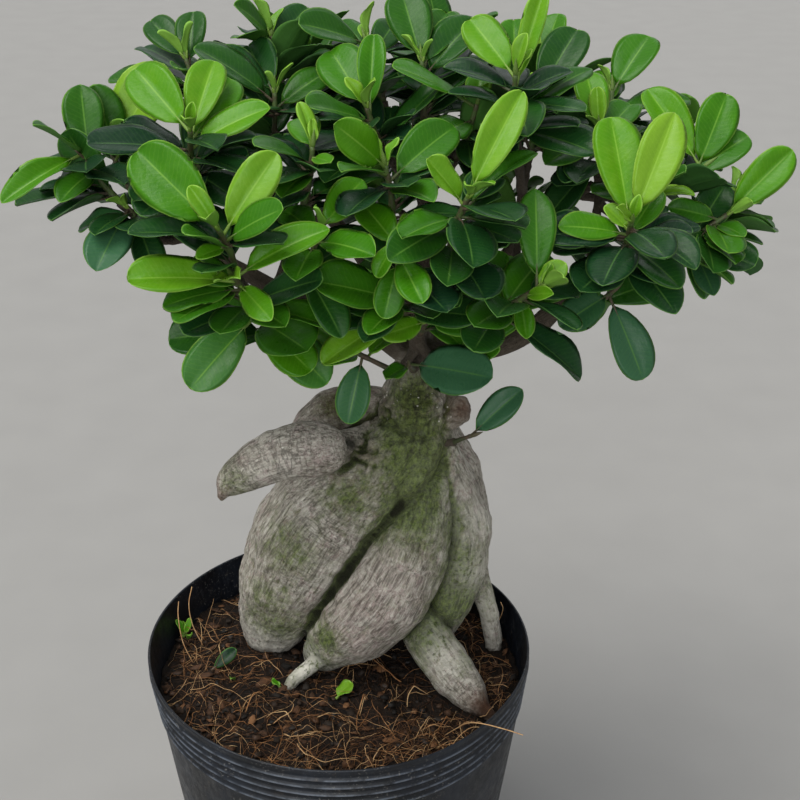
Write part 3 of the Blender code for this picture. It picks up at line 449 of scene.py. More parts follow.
# Green things on the soil: x and y, azimuth, rise, length, width ratio, age, roll
WEEDS = (((-2, -26), 40, 24, 13, 0.95, 0.12, -10), ((-96, 30), 150, 60, 12, 0.45, 0.3, 0),
         ((-96, 31), 50, 62, 11, 0.45, 0.2, 30), ((-94, 28), -60, 50, 9, 0.5, 0.35, 0),
         ((-97, 29), 100, 40, 10, 0.5, 0.25, 0), ((-76, -2), 30, 30, 19, 0.46, 1.0, 40),
         ((-62, -6), -100, 40, 8, 0.5, 0.3, 0), ((-34, -18), 150, 30, 7, 0.6, 0.35, 0))
WEED_BEND = math.radians(20)
WEED_FOLD = math.radians(8)

# Marks on the bark, each as rows of x, y, z, reach, strength. Cracks run across the bark, the
# hollows lie round the arm's inner end and under the neck's collar, where they are cut deeper
# and painted dark as shade, and flushes are purple.
MARKS = {
    "algae": (
        (44, -2, 300, 22, 1.0), (40, -4, 280, 20, 1.0), (44, -6, 262, 16, 0.85),
        (40, 0, 318, 18, 0.95), (40, 2, 340, 16, 0.7), (64, 0, 240, 20, 0.7),
        (60, 0, 212, 22, 0.95), (58, 0, 262, 16, 0.75), (8, -8, 286, 16, 0.6),
        (-26, -2, 250, 20, 0.45), (-38, 2, 214, 18, 0.45), (-36, 8, 196, 20, 0.6),
        (-20, -8, 176, 16, 0.95), (-6, -14, 196, 12, 0.7), (50, -12, 196, 16, 0.7),
        (40, -24, 178, 12, 0.7), (26, -8, 268, 14, 0.6), (-50, -22, 306, 10, 0.7),
        (-20, -10, 312, 12, 0.6), (24, 60, 300, 26, 0.6), (-16, 80, 220, 30, 0.6),
        (64, 82, 220, 28, 0.6), (90, 30, 200, 20, 0.4), (0, 26, 326, 14, 0.55),
        (12, -16, 290, 18, 0.5), (68, -20, 182, 10, 0.5)),
    "knots": ((44, 4, 336, 14, 1.0), (26, 14, 326, 12, 1.0), (60, 12, 330, 12, 0.8),
              (16, -4, 309, 11, 0.9), (34, 4, 316, 8, 0.5)),
    "cracks": ((-24, -28, 322, 20, 0.8), (-46, -26, 310, 14, 0.9), (70, -30, 174, 16, 0.6),
               (0, 26, 324, 18, 0.6), (44, 2, 336, 16, 0.5), (-8, -14, 266, 18, 0.65),
               (-22, -8, 238, 16, 0.5), (8, -24, 236, 16, 0.3)),
    "hollows": ((9, -6, 317, 6, 1.0), (3, -18, 306, 6, 0.8), (14, -10, 308, 5, 0.8),
                (27, 0, 324, 3.6, 0.6), (32, -1, 322, 3.6, 0.7), (37, -1, 320, 3.6, 0.8),
                (42, -2, 318, 3.6, 0.8), (47, -2, 317, 3.6, 0.9), (52, -2, 316, 3.6, 0.9),
                (57, -1, 316, 3.6, 0.9), (62, 2, 317, 3.6, 0.9), (66, 6, 319, 3.6, 0.8)),
    "scars": ((68, 13, 328, 8, 1.0), (-60, -25, 297, 5, 0.9), (2, 30, 326, 16, 0.5),
              (84, -39, 166, 12, 1.2), (76, -38, 174, 7, 0.5)),
    "flushes": ((-8, -30, 322, 15, 0.9), (-32, -32, 322, 12, 0.6), (25, -30, 225, 26, 1.0),
                (10, -28, 208, 22, 1.0), (-36, -4, 205, 20, 0.5), (0, 26, 330, 18, 0.8),
                (55, -18, 190, 12, 0.5), (30, -16, 290, 14, 0.5), (32, -24, 240, 18, 0.7)),
    "creams": ((-20, -9, 171, 12, 1.4), (-44, 14, 172, 16, 0.9), (-30, 0, 168, 12, 0.8),
               (60, -22, 190, 11, 0.8), (90, 22, 184, 24, 0.5), (56, -12, 192, 10, 0.5),
               (84, 4, 262, 20, 0.45), (78, 2, 232, 16, 0.5), (-30, -30, 318, 16, 0.35)),
}

# The solids' box, which the pieces built as a Skin are clipped to
BOX_LOW = np.array(cad_low) + 0.0001
BOX_HIGH = np.array(cad_high) - 0.0001

# Shapes in general

def evaluated_mesh(obj):
    bpy.context.view_layer.update()
    depsgraph = bpy.context.evaluated_depsgraph_get()
    return bpy.data.meshes.new_from_object(obj.evaluated_get(depsgraph))


def add_object(name, mesh, materials=()):
    obj = bpy.data.objects.new(name, mesh)
    bpy.context.scene.collection.objects.link(obj)
    for material in materials:
        mesh.materials.append(material)
    return obj


def unit_ball(subdivisions):
    """Points and triangles of a round ball of radius 1."""
    bm = bmesh.new()
    bmesh.ops.create_icosphere(bm, subdivisions=subdivisions, radius=1.0)
    points = [v.co.copy() for v in bm.verts]
    triangles = [tuple(v.index for v in f.verts) for f in bm.faces]
    bm.free()
    return points, triangles


def smooth_route(points, steps):
    """Points on a Catmull-Rom curve through (x, y, z, radius) points."""
    knots = [Vector(p) for p in points]
    knots = [2 * knots[0] - knots[1]] + knots + [2 * knots[-1] - knots[-2]]
    route = []
    for a, b, c, d in zip(knots, knots[1:], knots[2:], knots[3:]):
        for i in range(steps):
            t = i / steps
            route.append(0.5 * (2 * b + (c - a) * t + (2 * a - 5 * b + 4 * c - d) * t ** 2
                                + (3 * b - a - 3 * c + d) * t ** 3))
    route.append(knots[-2])
    return route


def aimed(azimuth, rise, roll):
    """A leaf's direction, and the direction that its face has."""
    a, r = math.radians(azimuth), math.radians(rise)
    aim = Vector((math.cos(r) * math.cos(a), math.cos(r) * math.sin(a), math.sin(r)))
    return aim, Quaternion(aim, math.radians(roll)) @ across(UP, aim)


def across(vector, axis):
    """The part of a vector that is square to an axis, as a unit vector."""
    return (vector - axis * vector.dot(axis)).normalized()


def around(reach, angle):
    return reach * math.cos(angle), reach * math.sin(angle)


def any_angle(rng, limits):
    return math.radians(rng.uniform(*limits))


def any_way(rng, size=1.0):
    return Vector([rng.uniform(-size, size) for _ in range(3)])


def ring_faces(rings, sides, capped=True):
    """Faces that join rings of points, with or without one across each end."""
    faces = []
    for start in range(0, sides * (rings - 1), sides):
        for k in range(sides):
            a, b = start + k, start + (k + 1) % sides
            faces.append((a, b, b + sides, a + sides))
    if capped:
        faces.append(tuple(range(sides))[::-1])
        faces.append(tuple(range(sides * (rings - 1), sides * rings)))
    return faces


def tube_points(route, sides, gap=0.0, side=None):
    """Rings round (x, y, z, radius) points.

    A side that is given is carried from ring to ring; without one each ring finds its own.
    """
    route = [Vector(p) for p in route]
    points = []
    for i, p in enumerate(route):
        axis = (route[min(i + 1, len(route) - 1)] - route[max(i - 1, 0)]).xyz.normalized()
        if side is None:
            upright = (0.3, 0.2, 1) if abs(axis.z) < 0.8 else (1, 0.2, 0)
            spoke = across(Vector(upright), axis)
        else:
            spoke = side = across(side, axis)
        other = axis.cross(spoke)
        for k in range(sides):
            turn = math.tau * k / sides
            out = spoke * math.cos(turn) + other * math.sin(turn)
            points.append(p.xyz + out * (p.w + gap))
    return points


# The plant's plan, the same as for the solids

def warp(point):
    """The soft pot's lean and dent, for a point in mm; both grow evenly from the base."""
    share = point.z / POT_HEIGHT
    reach = math.hypot(point.x, point.y)
    azimuth = math.degrees(math.atan2(point.y, point.x))
    push = DENT * math.exp(-((azimuth - DENT_AZIMUTH) / DENT_SPREAD) ** 2) * share
    scale = 1.0 if reach < 1.0 else (reach - push * reach / POT_RIM_R) / reach
    tilt = -RIM_TILT * share * point.x / POT_RIM_R
    return Vector((point.x * scale, point.y * scale, point.z + tilt))


def pot_outer_r(z):
    return POT_BASE_R + (POT_RIM_R - POT_BASE_R) * z / POT_HEIGHT


def soil_height(x, y):
    reach = math.hypot(x, y) / POT_RIM_R
    wide, fine = SOIL_LUMP_SPANS
    lumps = noise.noise(Vector((x, y, 0)) / wide) + 0.5 * noise.noise(Vector((x, y, 9)) / fine)
    return SOIL_EDGE_Z + SOIL_MOUND * (1 - reach ** 2) + SOIL_LUMP * lumps


def plan_twigs():
    """Each shoot's twig, and the stub that carries it on the nearest branch."""
    sources = [p for route in BRANCHES.values() for p in smooth_route(route, 4)[:-1]]
    sources += [Vector(p) for p in ROOTS["neck"][1:] + ROOTS["cut stub"][1:]]
    rng = random.Random(SEED)
    twigs = {}
    for shoot in SHOOTS:
        tip = Vector(shoot.tip)
        below = [p for p in sources if p.z < tip.z - 4]
        root = min(below, key=lambda p: (p.xyz - tip).length)
        reach = (tip - root.xyz).length
        heading = ((tip - root.xyz).normalized() + SHOOT_LIFT * UP).normalized()
        length = max(TWIG_MIN, min(TWIG_LENGTH, reach - root.w - STUB_MIN))
        start = tip - heading * length
        sway = across(any_way(rng), heading)
        middle = start + heading * length * 0.5 + sway * TWIG_SWAY * length
        first = (middle - start).normalized()
        end = start - first * END_GAP
        knee = end - first * STUB_KNEE * (end - root.xyz).length
        stub = ((*root.xyz, min(root.w, STUB_ROOT_R)), (*knee, STUB_R), (*end, STUB_R))
        twigs[shoot.name] = Twig(start, middle, tip, stub)
    return twigs


def twig_route(twig):
    return ((*twig.start, TWIG_R), (*twig.middle, (TWIG_R + TWIG_TIP_R) / 2),
            (*twig.tip, TWIG_TIP_R))


def half_width(leaf, along):
    """Half the solid's blade: a narrow stalk, then an egg shape, broadest past the middle."""
    if along <= PETIOLE_SHARE:
        return PETIOLE_HALF
    u = (along - PETIOLE_SHARE) / (1 - PETIOLE_SHARE)
    egg = u ** 0.85 * (1 - u) ** 0.5 / EGG_PEAK
    return max(PETIOLE_HALF, 0.5 * leaf.width * egg)


def leaf_point(leaf, along, side, offset=0.0):
    """A point of a blade: along is 0 to 1, side is -1 to 1, offset is above its face."""
    lean = leaf.bend * (0.5 - along)
    half = leaf.bend / 2
    forward = leaf.length * (math.sin(half) - math.sin(lean)) / leaf.bend
    lift = leaf.length * (math.cos(lean) - math.cos(half)) / leaf.bend
    face = leaf.normal * math.cos(lean) - leaf.aim * math.sin(lean)
    out = leaf.aim.cross(leaf.normal) * side * half_width(leaf, along)
    point = leaf.base + leaf.aim * forward + leaf.normal * lift + face * offset
    return point + out * math.cos(leaf.fold) + face * out.length * math.sin(leaf.fold)


def leaf_probe(leaf, first, gap):
    """Two sheets just above and below a blade, to test what it would touch."""
    rows = [first + (0.99 - first) * i / 5 for i in range(6)]
    points, faces = [], []
    for offset in (-gap, gap):
        start = len(points)
        points += [leaf_point(leaf, row, side, offset) for row in rows for side in (-1, 0, 1)]
        for i in range(5):
            for k in (start + 3 * i, start + 3 * i + 1):
                faces.append((k, k + 1, k + 4, k + 3))
    return BVHTree.FromPolygons(points, faces)


class Crown:
    """Keeps what has been placed, and finds free room for each new leaf."""

    def __init__(self, twigs):
        self.solids = []
        self.twigs = twigs
        self.leaves = {shoot.name: [] for shoot in SHOOTS}
        for route in BRANCHES.values():
            self.add_tube("rootstock", smooth_route(route, 2))
        for route in ROOTS.values():
            self.add_tube("rootstock", route)
        for name, twig in twigs.items():
            self.add_tube("rootstock", twig.stub)
            self.add_tube(name, twig_route(twig))

    def add_tube(self, owner, route):
        points = [Vector(p).xyz for p in route]
        centre = sum(points, Vector()) / len(points)
        reach = max((p - centre).length for p in points) + max(p[3] for p in route) + 2
        probe = BVHTree.FromPolygons(tube_points(route, 6, FREE_SPACE),
                                     ring_faces(len(route), 6, capped=False))
        self.solids.append((owner, centre, reach, probe, None))

    def is_free(self, owner, leaf):
        centre = leaf.base + leaf.aim * leaf.length / 2
        reach = leaf.length / 2 + 2
        whole = leaf_probe(leaf, 0.0, FREE_SPACE)
        blade = leaf_probe(leaf, 0.3, FREE_SPACE / 2)
        for other, place, size, solid, solid_blade in self.solids:
            if (place - centre).length > reach + size:
                continue
            if other != owner:
                if solid.overlap(whole):
                    return False
            elif solid_blade and solid_blade.overlap(blade):
                return False
        return True

    def keep(self, owner, leaf):
        centre = leaf.base + leaf.aim * leaf.length / 2
        self.solids.append((owner, centre, leaf.length / 2 + 2,
                            leaf_probe(leaf, 0.0, 0.3), leaf_probe(leaf, 0.3, 0.1)))

    def place(self, shoot, base, aim, normal, length, rng):
        """Adds a leaf near the wanted one, turned or shortened until it is free."""
        bend = any_angle(rng, LEAF_BEND)
        fold = any_angle(rng, LEAF_FOLD)
        ratio = LEAF_RATIO * rng.uniform(*RATIO_SPREAD)
        for attempt in range(FREE_TRIES):
            spread = math.radians(TURN_PER_TRY * attempt)
            turn = Quaternion(normal, rng.uniform(-1, 1) * spread)
            tilt = Quaternion(aim.cross(normal), rng.uniform(-1, 1) * spread)
            size = length * (1 - SHRINK_PER_TRY * attempt)
            new_aim = (turn @ tilt @ aim).normalized()
            leaf = Leaf(base, new_aim, across(normal, new_aim), size, size * ratio, bend, fold)
            if self.is_free(shoot.name, leaf):
                self.keep(shoot.name, leaf)
                self.leaves[shoot.name].append(leaf)
                return

    def place_seen_leaves(self, shoot, rng):
        twig = self.twigs[shoot.name]
        for i, (azimuth, rise, length, roll) in enumerate(shoot.leaves):
            base = twig.tip.lerp(twig.middle, FIRST_LEAF + SEEN_LEAF_STEP * i)
            self.place(shoot, base, *aimed(azimuth, rise, roll), length, rng)

    def place_other_leaves(self, shoot, rng):
        """Leaves in a golden-angle spiral, steeper and smaller toward the tip."""
        twig = self.twigs[shoot.name]
        axis = (twig.tip - twig.middle).normalized()
        side = across(Vector((0.2, 1, 0.1)), axis)
        first_turn = rng.uniform(0, 360)
        top = 1.0 if not shoot.leaves else 0.5
        for i in range(shoot.count - len(shoot.leaves)):
            share = FIRST_LEAF + (top - 0.2) * i / max(1, shoot.count - 1)
            base = twig.start.lerp(twig.tip, share)
            opening = OPEN_AT_FOOT + (OPEN_AT_TIP - OPEN_AT_FOOT) * share
            open_angle = math.radians(opening + rng.uniform(-OPEN_JITTER, OPEN_JITTER))
            turn = first_turn + GOLDEN_ANGLE * i + rng.uniform(-SPIN_JITTER, SPIN_JITTER)
            out = Quaternion(axis, math.radians(turn)) @ side
            aim = (axis * math.cos(open_angle) + out * math.sin(open_angle)).normalized()
            size = SIZE_AT_FOOT + (SIZE_AT_TIP - SIZE_AT_FOOT) * share
            length = LEAF_LENGTH * size * rng.uniform(*SIZE_SPREAD)
            self.place(shoot, base, aim, across(axis + 0.5 * UP, aim), length, rng)


def grow_crown(twigs):
    crown = Crown(twigs)
    for i, shoot in enumerate(SHOOTS):
        crown.place_seen_leaves(shoot, random.Random(SEED + 10 * i))
    for i, shoot in enumerate(SHOOTS):
        crown.place_other_leaves(shoot, random.Random(SEED + 10 * i + 5))
    return crown


# Fine shoots

class Skin:
    """Gathers points in mm, faces and values, and makes one object of them."""

    def __init__(self):
        self.points, self.faces, self.slots, self.local, self.look = [], [], [], [], []

    def add(self, points, faces, slots, local, look):
        start = len(self.points)
        self.points += points
        self.faces += [tuple(start + i for i in face) for face in faces]
        self.slots += slots
        self.local += local
        self.look += [look] * len(points)

    def add_tube(self, route, sides, slot, look):
        points = tube_points(route, sides, side=Vector((0.31, 0.52, 0.8)))
        faces = ring_faces(len(route), sides)
        local = [(0.0, 0.0, i / len(points)) for i in range(len(points))]
        self.add(points, faces, [slot] * len(faces), local, look)

    def build(self, name, materials):
        mesh = bpy.data.meshes.new(name)
        points = np.clip(np.array(self.points) * MM, BOX_LOW, BOX_HIGH)
        mesh.from_pydata(points.tolist(), [], self.faces)
        piece = add_object(name, mesh, materials)
        mesh.polygons.foreach_set("material_index", self.slots)
        add_values(mesh, "local", np.array(self.local))
        add_values(mesh, "look", np.array(self.look))
        mesh.shade_smooth()
        return piece


def add_values(mesh, name, values):
    attribute = mesh.attributes.new(name, "FLOAT_VECTOR", "POINT")
    attribute.data.foreach_set("vector", values.astype(np.float32).ravel())


def blunt_half_width(leaf, along):
    """The fine blade's half width: tapered to its stalk, and more pointed the more it bends."""
    u = (along - BLADE_START) / (1 - BLADE_START)
    straight, bent = LEAF_BEND
    share = (math.degrees(leaf.bend) - straight) / (bent - straight)
    power = TIP_POWER[0] + (TIP_POWER[1] - TIP_POWER[0]) * share
    shape = max(0.0, u) ** 0.6 * max(0.0, 1 - u ** 1.9) ** power / BLUNT_PEAK
    return max(BLUNT_LEAST, BLUNT_RATIO * leaf.width * shape)


def blade_skin(leaf, rng):
    """A thin blade with a sunk midrib and a slightly wavy edge: points, faces, slots, values."""
    wave = rng.uniform(*EDGE_WAVE)
    phase = rng.uniform(0, math.tau)
    beats = rng.uniform(*EDGE_BEATS)
    cup = rng.uniform(*CUP)
    twist = rng.uniform(-TWIST, TWIST)
    points, local, index, faces, slots = [], [], {}, [], []
    for sheet in (0, 1):
        for i in range(BLADE_ROWS + 1):
            along = BLADE_START + (1 - BLADE_START) * (1 - (1 - i / BLADE_ROWS) ** TIP_CROWDING)
            coarse = half_width(leaf, along)
            fine = blunt_half_width(leaf, along)
            for j in range(BLADE_COLUMNS + 1):
                side = 2 * j / BLADE_COLUMNS - 1
                rim = i in (0, BLADE_ROWS) or j in (0, BLADE_COLUMNS)
                if sheet and rim:
                    index[1, i, j] = index[0, i, j]
                    continue
                out = side * fine
                rib = math.exp(-(out / MIDRIB_HALF) ** 2)
                offset = wave * math.sin(phase + beats * along) * abs(side) ** 3
                offset += twist * out * (along - 0.35)
                if not rim and sheet:
                    offset += -BLADE_HALF_THICK - MIDRIB_KEEL * rib
                elif not rim:
                    offset += BLADE_HALF_THICK - MIDRIB_GROOVE * rib
                # The fold is steeper at the midrib than at the edge, or the reverse, by the cup
                curved = leaf._replace(
                    fold=leaf.fold * (1.9 - 0.5 * cup + (cup - 1.3) * abs(side)))
                index[sheet, i, j] = len(points)
                points.append(leaf_point(curved, along, side * fine / coarse, offset))
                edge = min((1 - abs(side)) * fine, (1 - along) * leaf.length)
                local.append((along * leaf.length, out, edge))
    for sheet in (0, 1):
        for i in range(BLADE_ROWS):
            for j in range(BLADE_COLUMNS):
                face = (index[sheet, i, j], index[sheet, i, j + 1],
                        index[sheet, i + 1, j + 1], index[sheet, i + 1, j])
                faces.append(face[::-1] if sheet else face)
                slots.append(sheet)
    return points, faces, slots, local


def add_leaf(skin, leaf, age, rng, curl=(1.0, 0.0), bloom_and_sheen=0.0):
    """Adds a blade and its stalk; a curl is a width share and the least fold."""
    look = (age, rng.random(), bloom_and_sheen)
    width, fold = curl
    leaf = leaf._replace(width=leaf.width * width, fold=max(leaf.fold, math.radians(fold)))
    skin.add(*blade_skin(leaf, rng), look)
    stalk = [(*leaf.base, PETIOLE_R * 1.15)]
    for share, radius in PETIOLE_TAPER:
        stalk.append((*leaf_point(leaf, share, 0, -PETIOLE_DROP), PETIOLE_R * radius))
    skin.add_tube(stalk, 6, 2, look)


def add_twig(skin, twig, leaves, age, rng):
    """The shoot's green twig, swollen a little at each leaf, and the bud at its tip."""
    route = smooth_route(twig_route(twig), 8)
    back = (route[0] - route[1]).xyz.normalized()
    route[0] = Vector((*(route[0].xyz + back * 0.8), TWIG_R))
    for point in route[1:]:
        near = min([(point.xyz - leaf.base).length for leaf in leaves], default=9.0)
        point.w = (point.w * TWIG_THINNER
                   + TWIG_KNOT * math.exp(-(near / TWIG_KNOT_REACH) ** 2))
    skin.add_tube(route, 8, 2, (age, rng.random(), 0.0))
    ahead = (route[-1] - route[-2]).xyz.normalized()
    bud = [(*(twig.tip + ahead * BUD_LENGTH * share), BUD_R * size) for share, size in BUD_SHAPE]
    skin.add_tube(bud, 7, 2, (0.6 * age, rng.random(), 0.0))


def keep_if_free(crown, shoot, leaf, added):
    """Adds a leaf for the looks alone if it stands inside the box and touches nothing."""
    for along, side in ((0.5, -1), (0.5, 1), (0.85, -1), (0.85, 1), (1.0, 0)):
        point = leaf_point(leaf, along, side) * MM
        if not all(low < value < high for low, value, high in zip(cad_low, point, cad_high)):
            return False
    if not crown.is_free(shoot.name, leaf):
        return False
    crown.keep(shoot.name, leaf)
    added.append(leaf)
    return True


def place_inner_leaves(crown, shoot, rng):
    """Leaves for the looks alone, in the free room round a shoot."""
    twig = crown.twigs[shoot.name]
    route = [Vector(p).xyz for p in twig.stub[1:]] + [twig.middle, twig.tip]
    added = []
    for _ in range(INNER_LEAVES):
        for _ in range(INNER_TRIES):
            pick = rng.uniform(0.0, len(route) - INNER_TIP_ROOM)
            i = int(pick)
            base = route[i].lerp(route[i + 1], pick - i)
            axis = (route[i + 1] - route[i]).normalized()
            aim = (across(any_way(rng), axis) + axis * rng.uniform(*INNER_LEAN)
                   + UP * rng.uniform(*INNER_LIFT)).normalized()
            face = axis + UP * INNER_FACE_UP + any_way(rng, INNER_FACE_JITTER)
            normal = across(face, aim)
            length = rng.uniform(*INNER_LENGTH)
            width = length * LEAF_RATIO * rng.uniform(*INNER_RATIO)
            leaf = Leaf(base, aim, normal, length, width, any_angle(rng, LEAF_BEND),
                        any_angle(rng, LEAF_FOLD))
            height = leaf_point(leaf, 1.0, 0).z
            hidden = base.z - INNER_DROP < height < twig.tip.z + INNER_RISE
            if hidden and keep_if_free(crown, shoot, leaf, added):
                break
    return added


def place_young_leaves(crown, shoot, rng):
    """Small new leaves that stand round the bud."""
    twig = crown.twigs[shoot.name]
    axis = (twig.tip - twig.middle).normalized()
    base = twig.tip.lerp(twig.middle, 0.05)
    added = []
    for _ in range(YOUNG_LEAVES):
        for _ in range(YOUNG_TRIES):
            aim = (axis + across(any_way(rng), axis) * rng.uniform(*YOUNG_OPEN)).normalized()
            length = rng.uniform(*YOUNG_LENGTH)
            leaf = Leaf(base, aim, across(axis, aim), length, length * YOUNG_RATIO, YOUNG_CURL,
                        YOUNG_CURL)
            if keep_if_free(crown, shoot, leaf, added):
                break
    return added


# Rootstock

def ball_arrays(balls, subdivisions):
    """Points and triangles of round balls from (x, y, z, radius) rows in mm."""
    unit, triangles = (np.array(rows) for rows in unit_ball(subdivisions))
    balls = np.array(balls)
    points = unit[None] * balls[:, None, 3:] + balls[:, None, :3]
    faces = triangles[None] + (np.arange(len(balls)) * len(unit))[:, None, None]
    return points.reshape(-1, 3), faces.reshape(-1, 3)


def string_of_balls(route, step):
    balls = []
    for start, end in zip(route, route[1:]):
        a, b = Vector(start), Vector(end)
        count = max(2, math.ceil((b - a).xyz.length / step))
        balls += [tuple(a.lerp(b, i / count)) for i in range(count + 1)]
    return balls


def root_segments():
    """Each root's straight pieces: start and end with their radii, and the distance along."""
    rows = []
    routes = [smooth_route(route, ROOT_SKIN_STEPS) for route in ROOTS.values()]
    routes += [smooth_route(route, BRANCH_SKIN_STEPS) for route in BRANCHES.values()]
    for route in routes:
        run = 0.0
        for a, b in zip(route, route[1:]):
            rows.append((*a, *b, run))
            run += (b - a).xyz.length
    return np.array(rows)


def nearest_on_roots(points):
    """For each point: its spoke from the roots' axes, distance along and radius.

    Where two roots are about as near, the values pass gently from one to the other.
    """
    rows = root_segments()
    a, ra, b, rb, run = rows[:, 0:3], rows[:, 3], rows[:, 4:7], rows[:, 7], rows[:, 8]
    ab = b - a
    length = np.linalg.norm(ab, axis=1)
    found = []
    for chunk in np.array_split(points, max(1, len(points) // 4000)):
        ap = chunk[:, None, :] - a[None]
        t = np.clip((ap * ab).sum(2) / (length ** 2)[None], 0, 1)
        spoke = ap - t[..., None] * ab[None]
        radius = ra + t * (rb - ra)
        depth = np.linalg.norm(spoke, axis=2) - radius
        values = np.concatenate([spoke, (run + t * length)[..., None], radius[..., None]], 2)
        share = np.exp(-(depth - depth.min(1, keepdims=True)) / ROOT_BLEND)
        found.append((values * share[..., None]).sum(1) / share.sum(1, keepdims=True))
    found = np.concatenate(found)
    return found[:, :3], found[:, 3], found[:, 4]


def vertex_values(mesh, key):
    values = np.empty(len(mesh.vertices) * 3, dtype=np.float32)
    mesh.vertices.foreach_get(key, values)
    return values.reshape(-1, 3).astype(float)


def set_points(mesh, points):
    """Moves the points, and gives the new normals."""
    mesh.vertices.foreach_set("co", (points * MM).ravel().astype(np.float32))
    mesh.update()
    return vertex_values(mesh, "normal")


def softened(mesh, points, rounds):
    """The points after rounds of moving each to the middle of its neighbours."""
    edges = np.empty(len(mesh.edges) * 2, dtype=np.int32)
    mesh.edges.foreach_get("vertices", edges)
    a, b = edges.reshape(-1, 2).T
    count = np.bincount(edges, minlength=len(points))[:, None]
    for _ in range(rounds):
        total = np.zeros_like(points)
        for axis in range(points.shape[1]):
            total[:, axis] = (np.bincount(a, points[b, axis], len(points))
                              + np.bincount(b, points[a, axis], len(points)))
        points = 0.3 * points + 0.7 * total / count
    return points


def sunk(mesh, points, normals, rounds):
    """How far, in mm, each point lies below the softened skin round it."""
    return ((softened(mesh, points, rounds) - points) * normals).sum(1)


def drawn_out(grain, along, spans):
    """A place for noise that changes slowly along a root: spans across and along it."""
    return grain / spans[0] + (along / spans[1])[:, None]


def noise_at(points, span, seed):
    shift = Vector((seed * 7.3, seed * 3.1, seed * 5.7))
    return np.array([noise.noise(Vector(p) / span + shift) for p in points])


def marked(points, kind):
    """How strongly each point lies in any of the marks of a kind."""
    total = np.zeros(len(points))
    for x, y, z, reach, strength in MARKS[kind]:
        far = ((points - np.array((x, y, z))) ** 2).sum(1)
        total = np.maximum(total, strength * np.exp(-far / reach ** 2))
    return total


def grown_together(name, materials):
    """The roots and branches as strings of balls, joined into one skin."""
    thick, thin = [], []
    for route in (*ROOTS.values(), *FILLERS):
        thick += string_of_balls(route, ROOT_BALL_STEP)
    for route in BRANCHES.values():
        thin += string_of_balls(smooth_route(route, BRANCH_SKIN_STEPS), BRANCH_BALL_STEP)
    thick_points, thick_faces = ball_arrays(thick, 3)
    thin_points, thin_faces = ball_arrays(thin, 2)
    points = np.concatenate([thick_points, thin_points])
    faces = np.concatenate([thick_faces, thin_faces + len(thick_points)])
    mesh = bpy.data.meshes.new(name)
    mesh.from_pydata((points * MM).tolist(), [], faces.tolist())
    body = add_object(name, mesh)
    remesh = body.modifiers.new("Grow together", "REMESH")
    remesh.mode = "VOXEL"
    remesh.voxel_size = SKIN_VOXEL * MM
    mesh = evaluated_mesh(body)
    body.modifiers.clear()
    body.data = mesh
    for material in materials:
        mesh.materials.append(material)
    return body


def make_rootstock_skin(materials):
    """The grown roots with wrinkles, folds, knots and furrows, and the values for the bark."""
    body = grown_together("rootstock_skin", materials)
    mesh = body.data
    points = softened(mesh, vertex_values(mesh, "co") / MM, SKIN_SMOOTH)
    grain, along, radius = nearest_on_roots(points)
    normals = set_points(mesh, points)
    (crease_rounds, crease_depth), (seam_rounds, seam_depth) = CREASE_BEFORE, SEAM
    creased = np.clip(sunk(mesh, points, normals, crease_rounds) / crease_depth, 0, 1)
    # The seam finds the narrow crevices where lobes meet: they are cut deeper and painted dark as
    # shade
    seam = np.clip(sunk(mesh, points, normals, seam_rounds) / seam_depth, 0, 1)
    seam = np.maximum(seam, marked(points, "hollows"))
    size = np.clip(radius / THICK_ROOT_R, THIN_ROOT_SHARE, 1.0)
    wide, close = FOLD_SPAN
    places = {"place": points, "ridges": drawn_out(grain, along, RIDGE_SPAN),
              "folds": np.stack([along / close, grain[:, 0] / wide, grain[:, 2] / wide], 1)}
    threads = noise_at(drawn_out(grain, along, THREAD_SPAN), 1.0, 3)
    knotty = marked(points, "knots")
    knots = sum(height * np.abs(noise_at(points, span, seed))
                for height, span, seed in KNOT_LUMPS) - KNOT_LEVEL
    push = THREAD_HEIGHT * threads * size ** 0.7 + KNOT_HEIGHT * knotty * knots
    for height, place, span, seed in WRINKLES:
        push += height * noise_at(places[place], span, seed) * size
    push -= (CREASE_DEEPER * creased + SEAM_DEEPER * seam) * size
    points = points + normals * push[:, None]
    normals = set_points(mesh, points)
    # Crease and hollow: where the skin lies below its softened self; the bark paints them dark as
    # shade
    (crease_rounds, crease_depth), (hollow_rounds, hollow_depth) = CREASE, HOLLOW
    hollow = np.clip(sunk(mesh, points, normals, hollow_rounds) / hollow_depth, 0, 1)
    crease = softened(mesh, sunk(mesh, points, normals, crease_rounds)[:, None], 1)[:, 0]
    crease = np.clip(crease / crease_depth, 0, 1)
    algae = marked(points, "algae") + HOLLOW_ALGAE * hollow + ALGAE_EVERYWHERE
    algae = np.clip(algae, 0, 1)
    # The dent is the low ground between knot lumps; the bark paints it dark as shade
    dent = np.clip(0.5 - 2.0 * knots, 0, 1)
    stains = [marked(points, kind) for kind in ("scars", "flushes", "creams")]
    add_values(mesh, "grain", grain)
    for name, values in (("bark", [along, hollow, algae]),
                         ("form", [radius, crease, marked(points, "cracks")]),
                         ("knot", [knotty, dent, seam]), ("stain", stains)):
        add_values(mesh, name, np.stack(values, 1))
    mesh.shade_smooth()
    return body


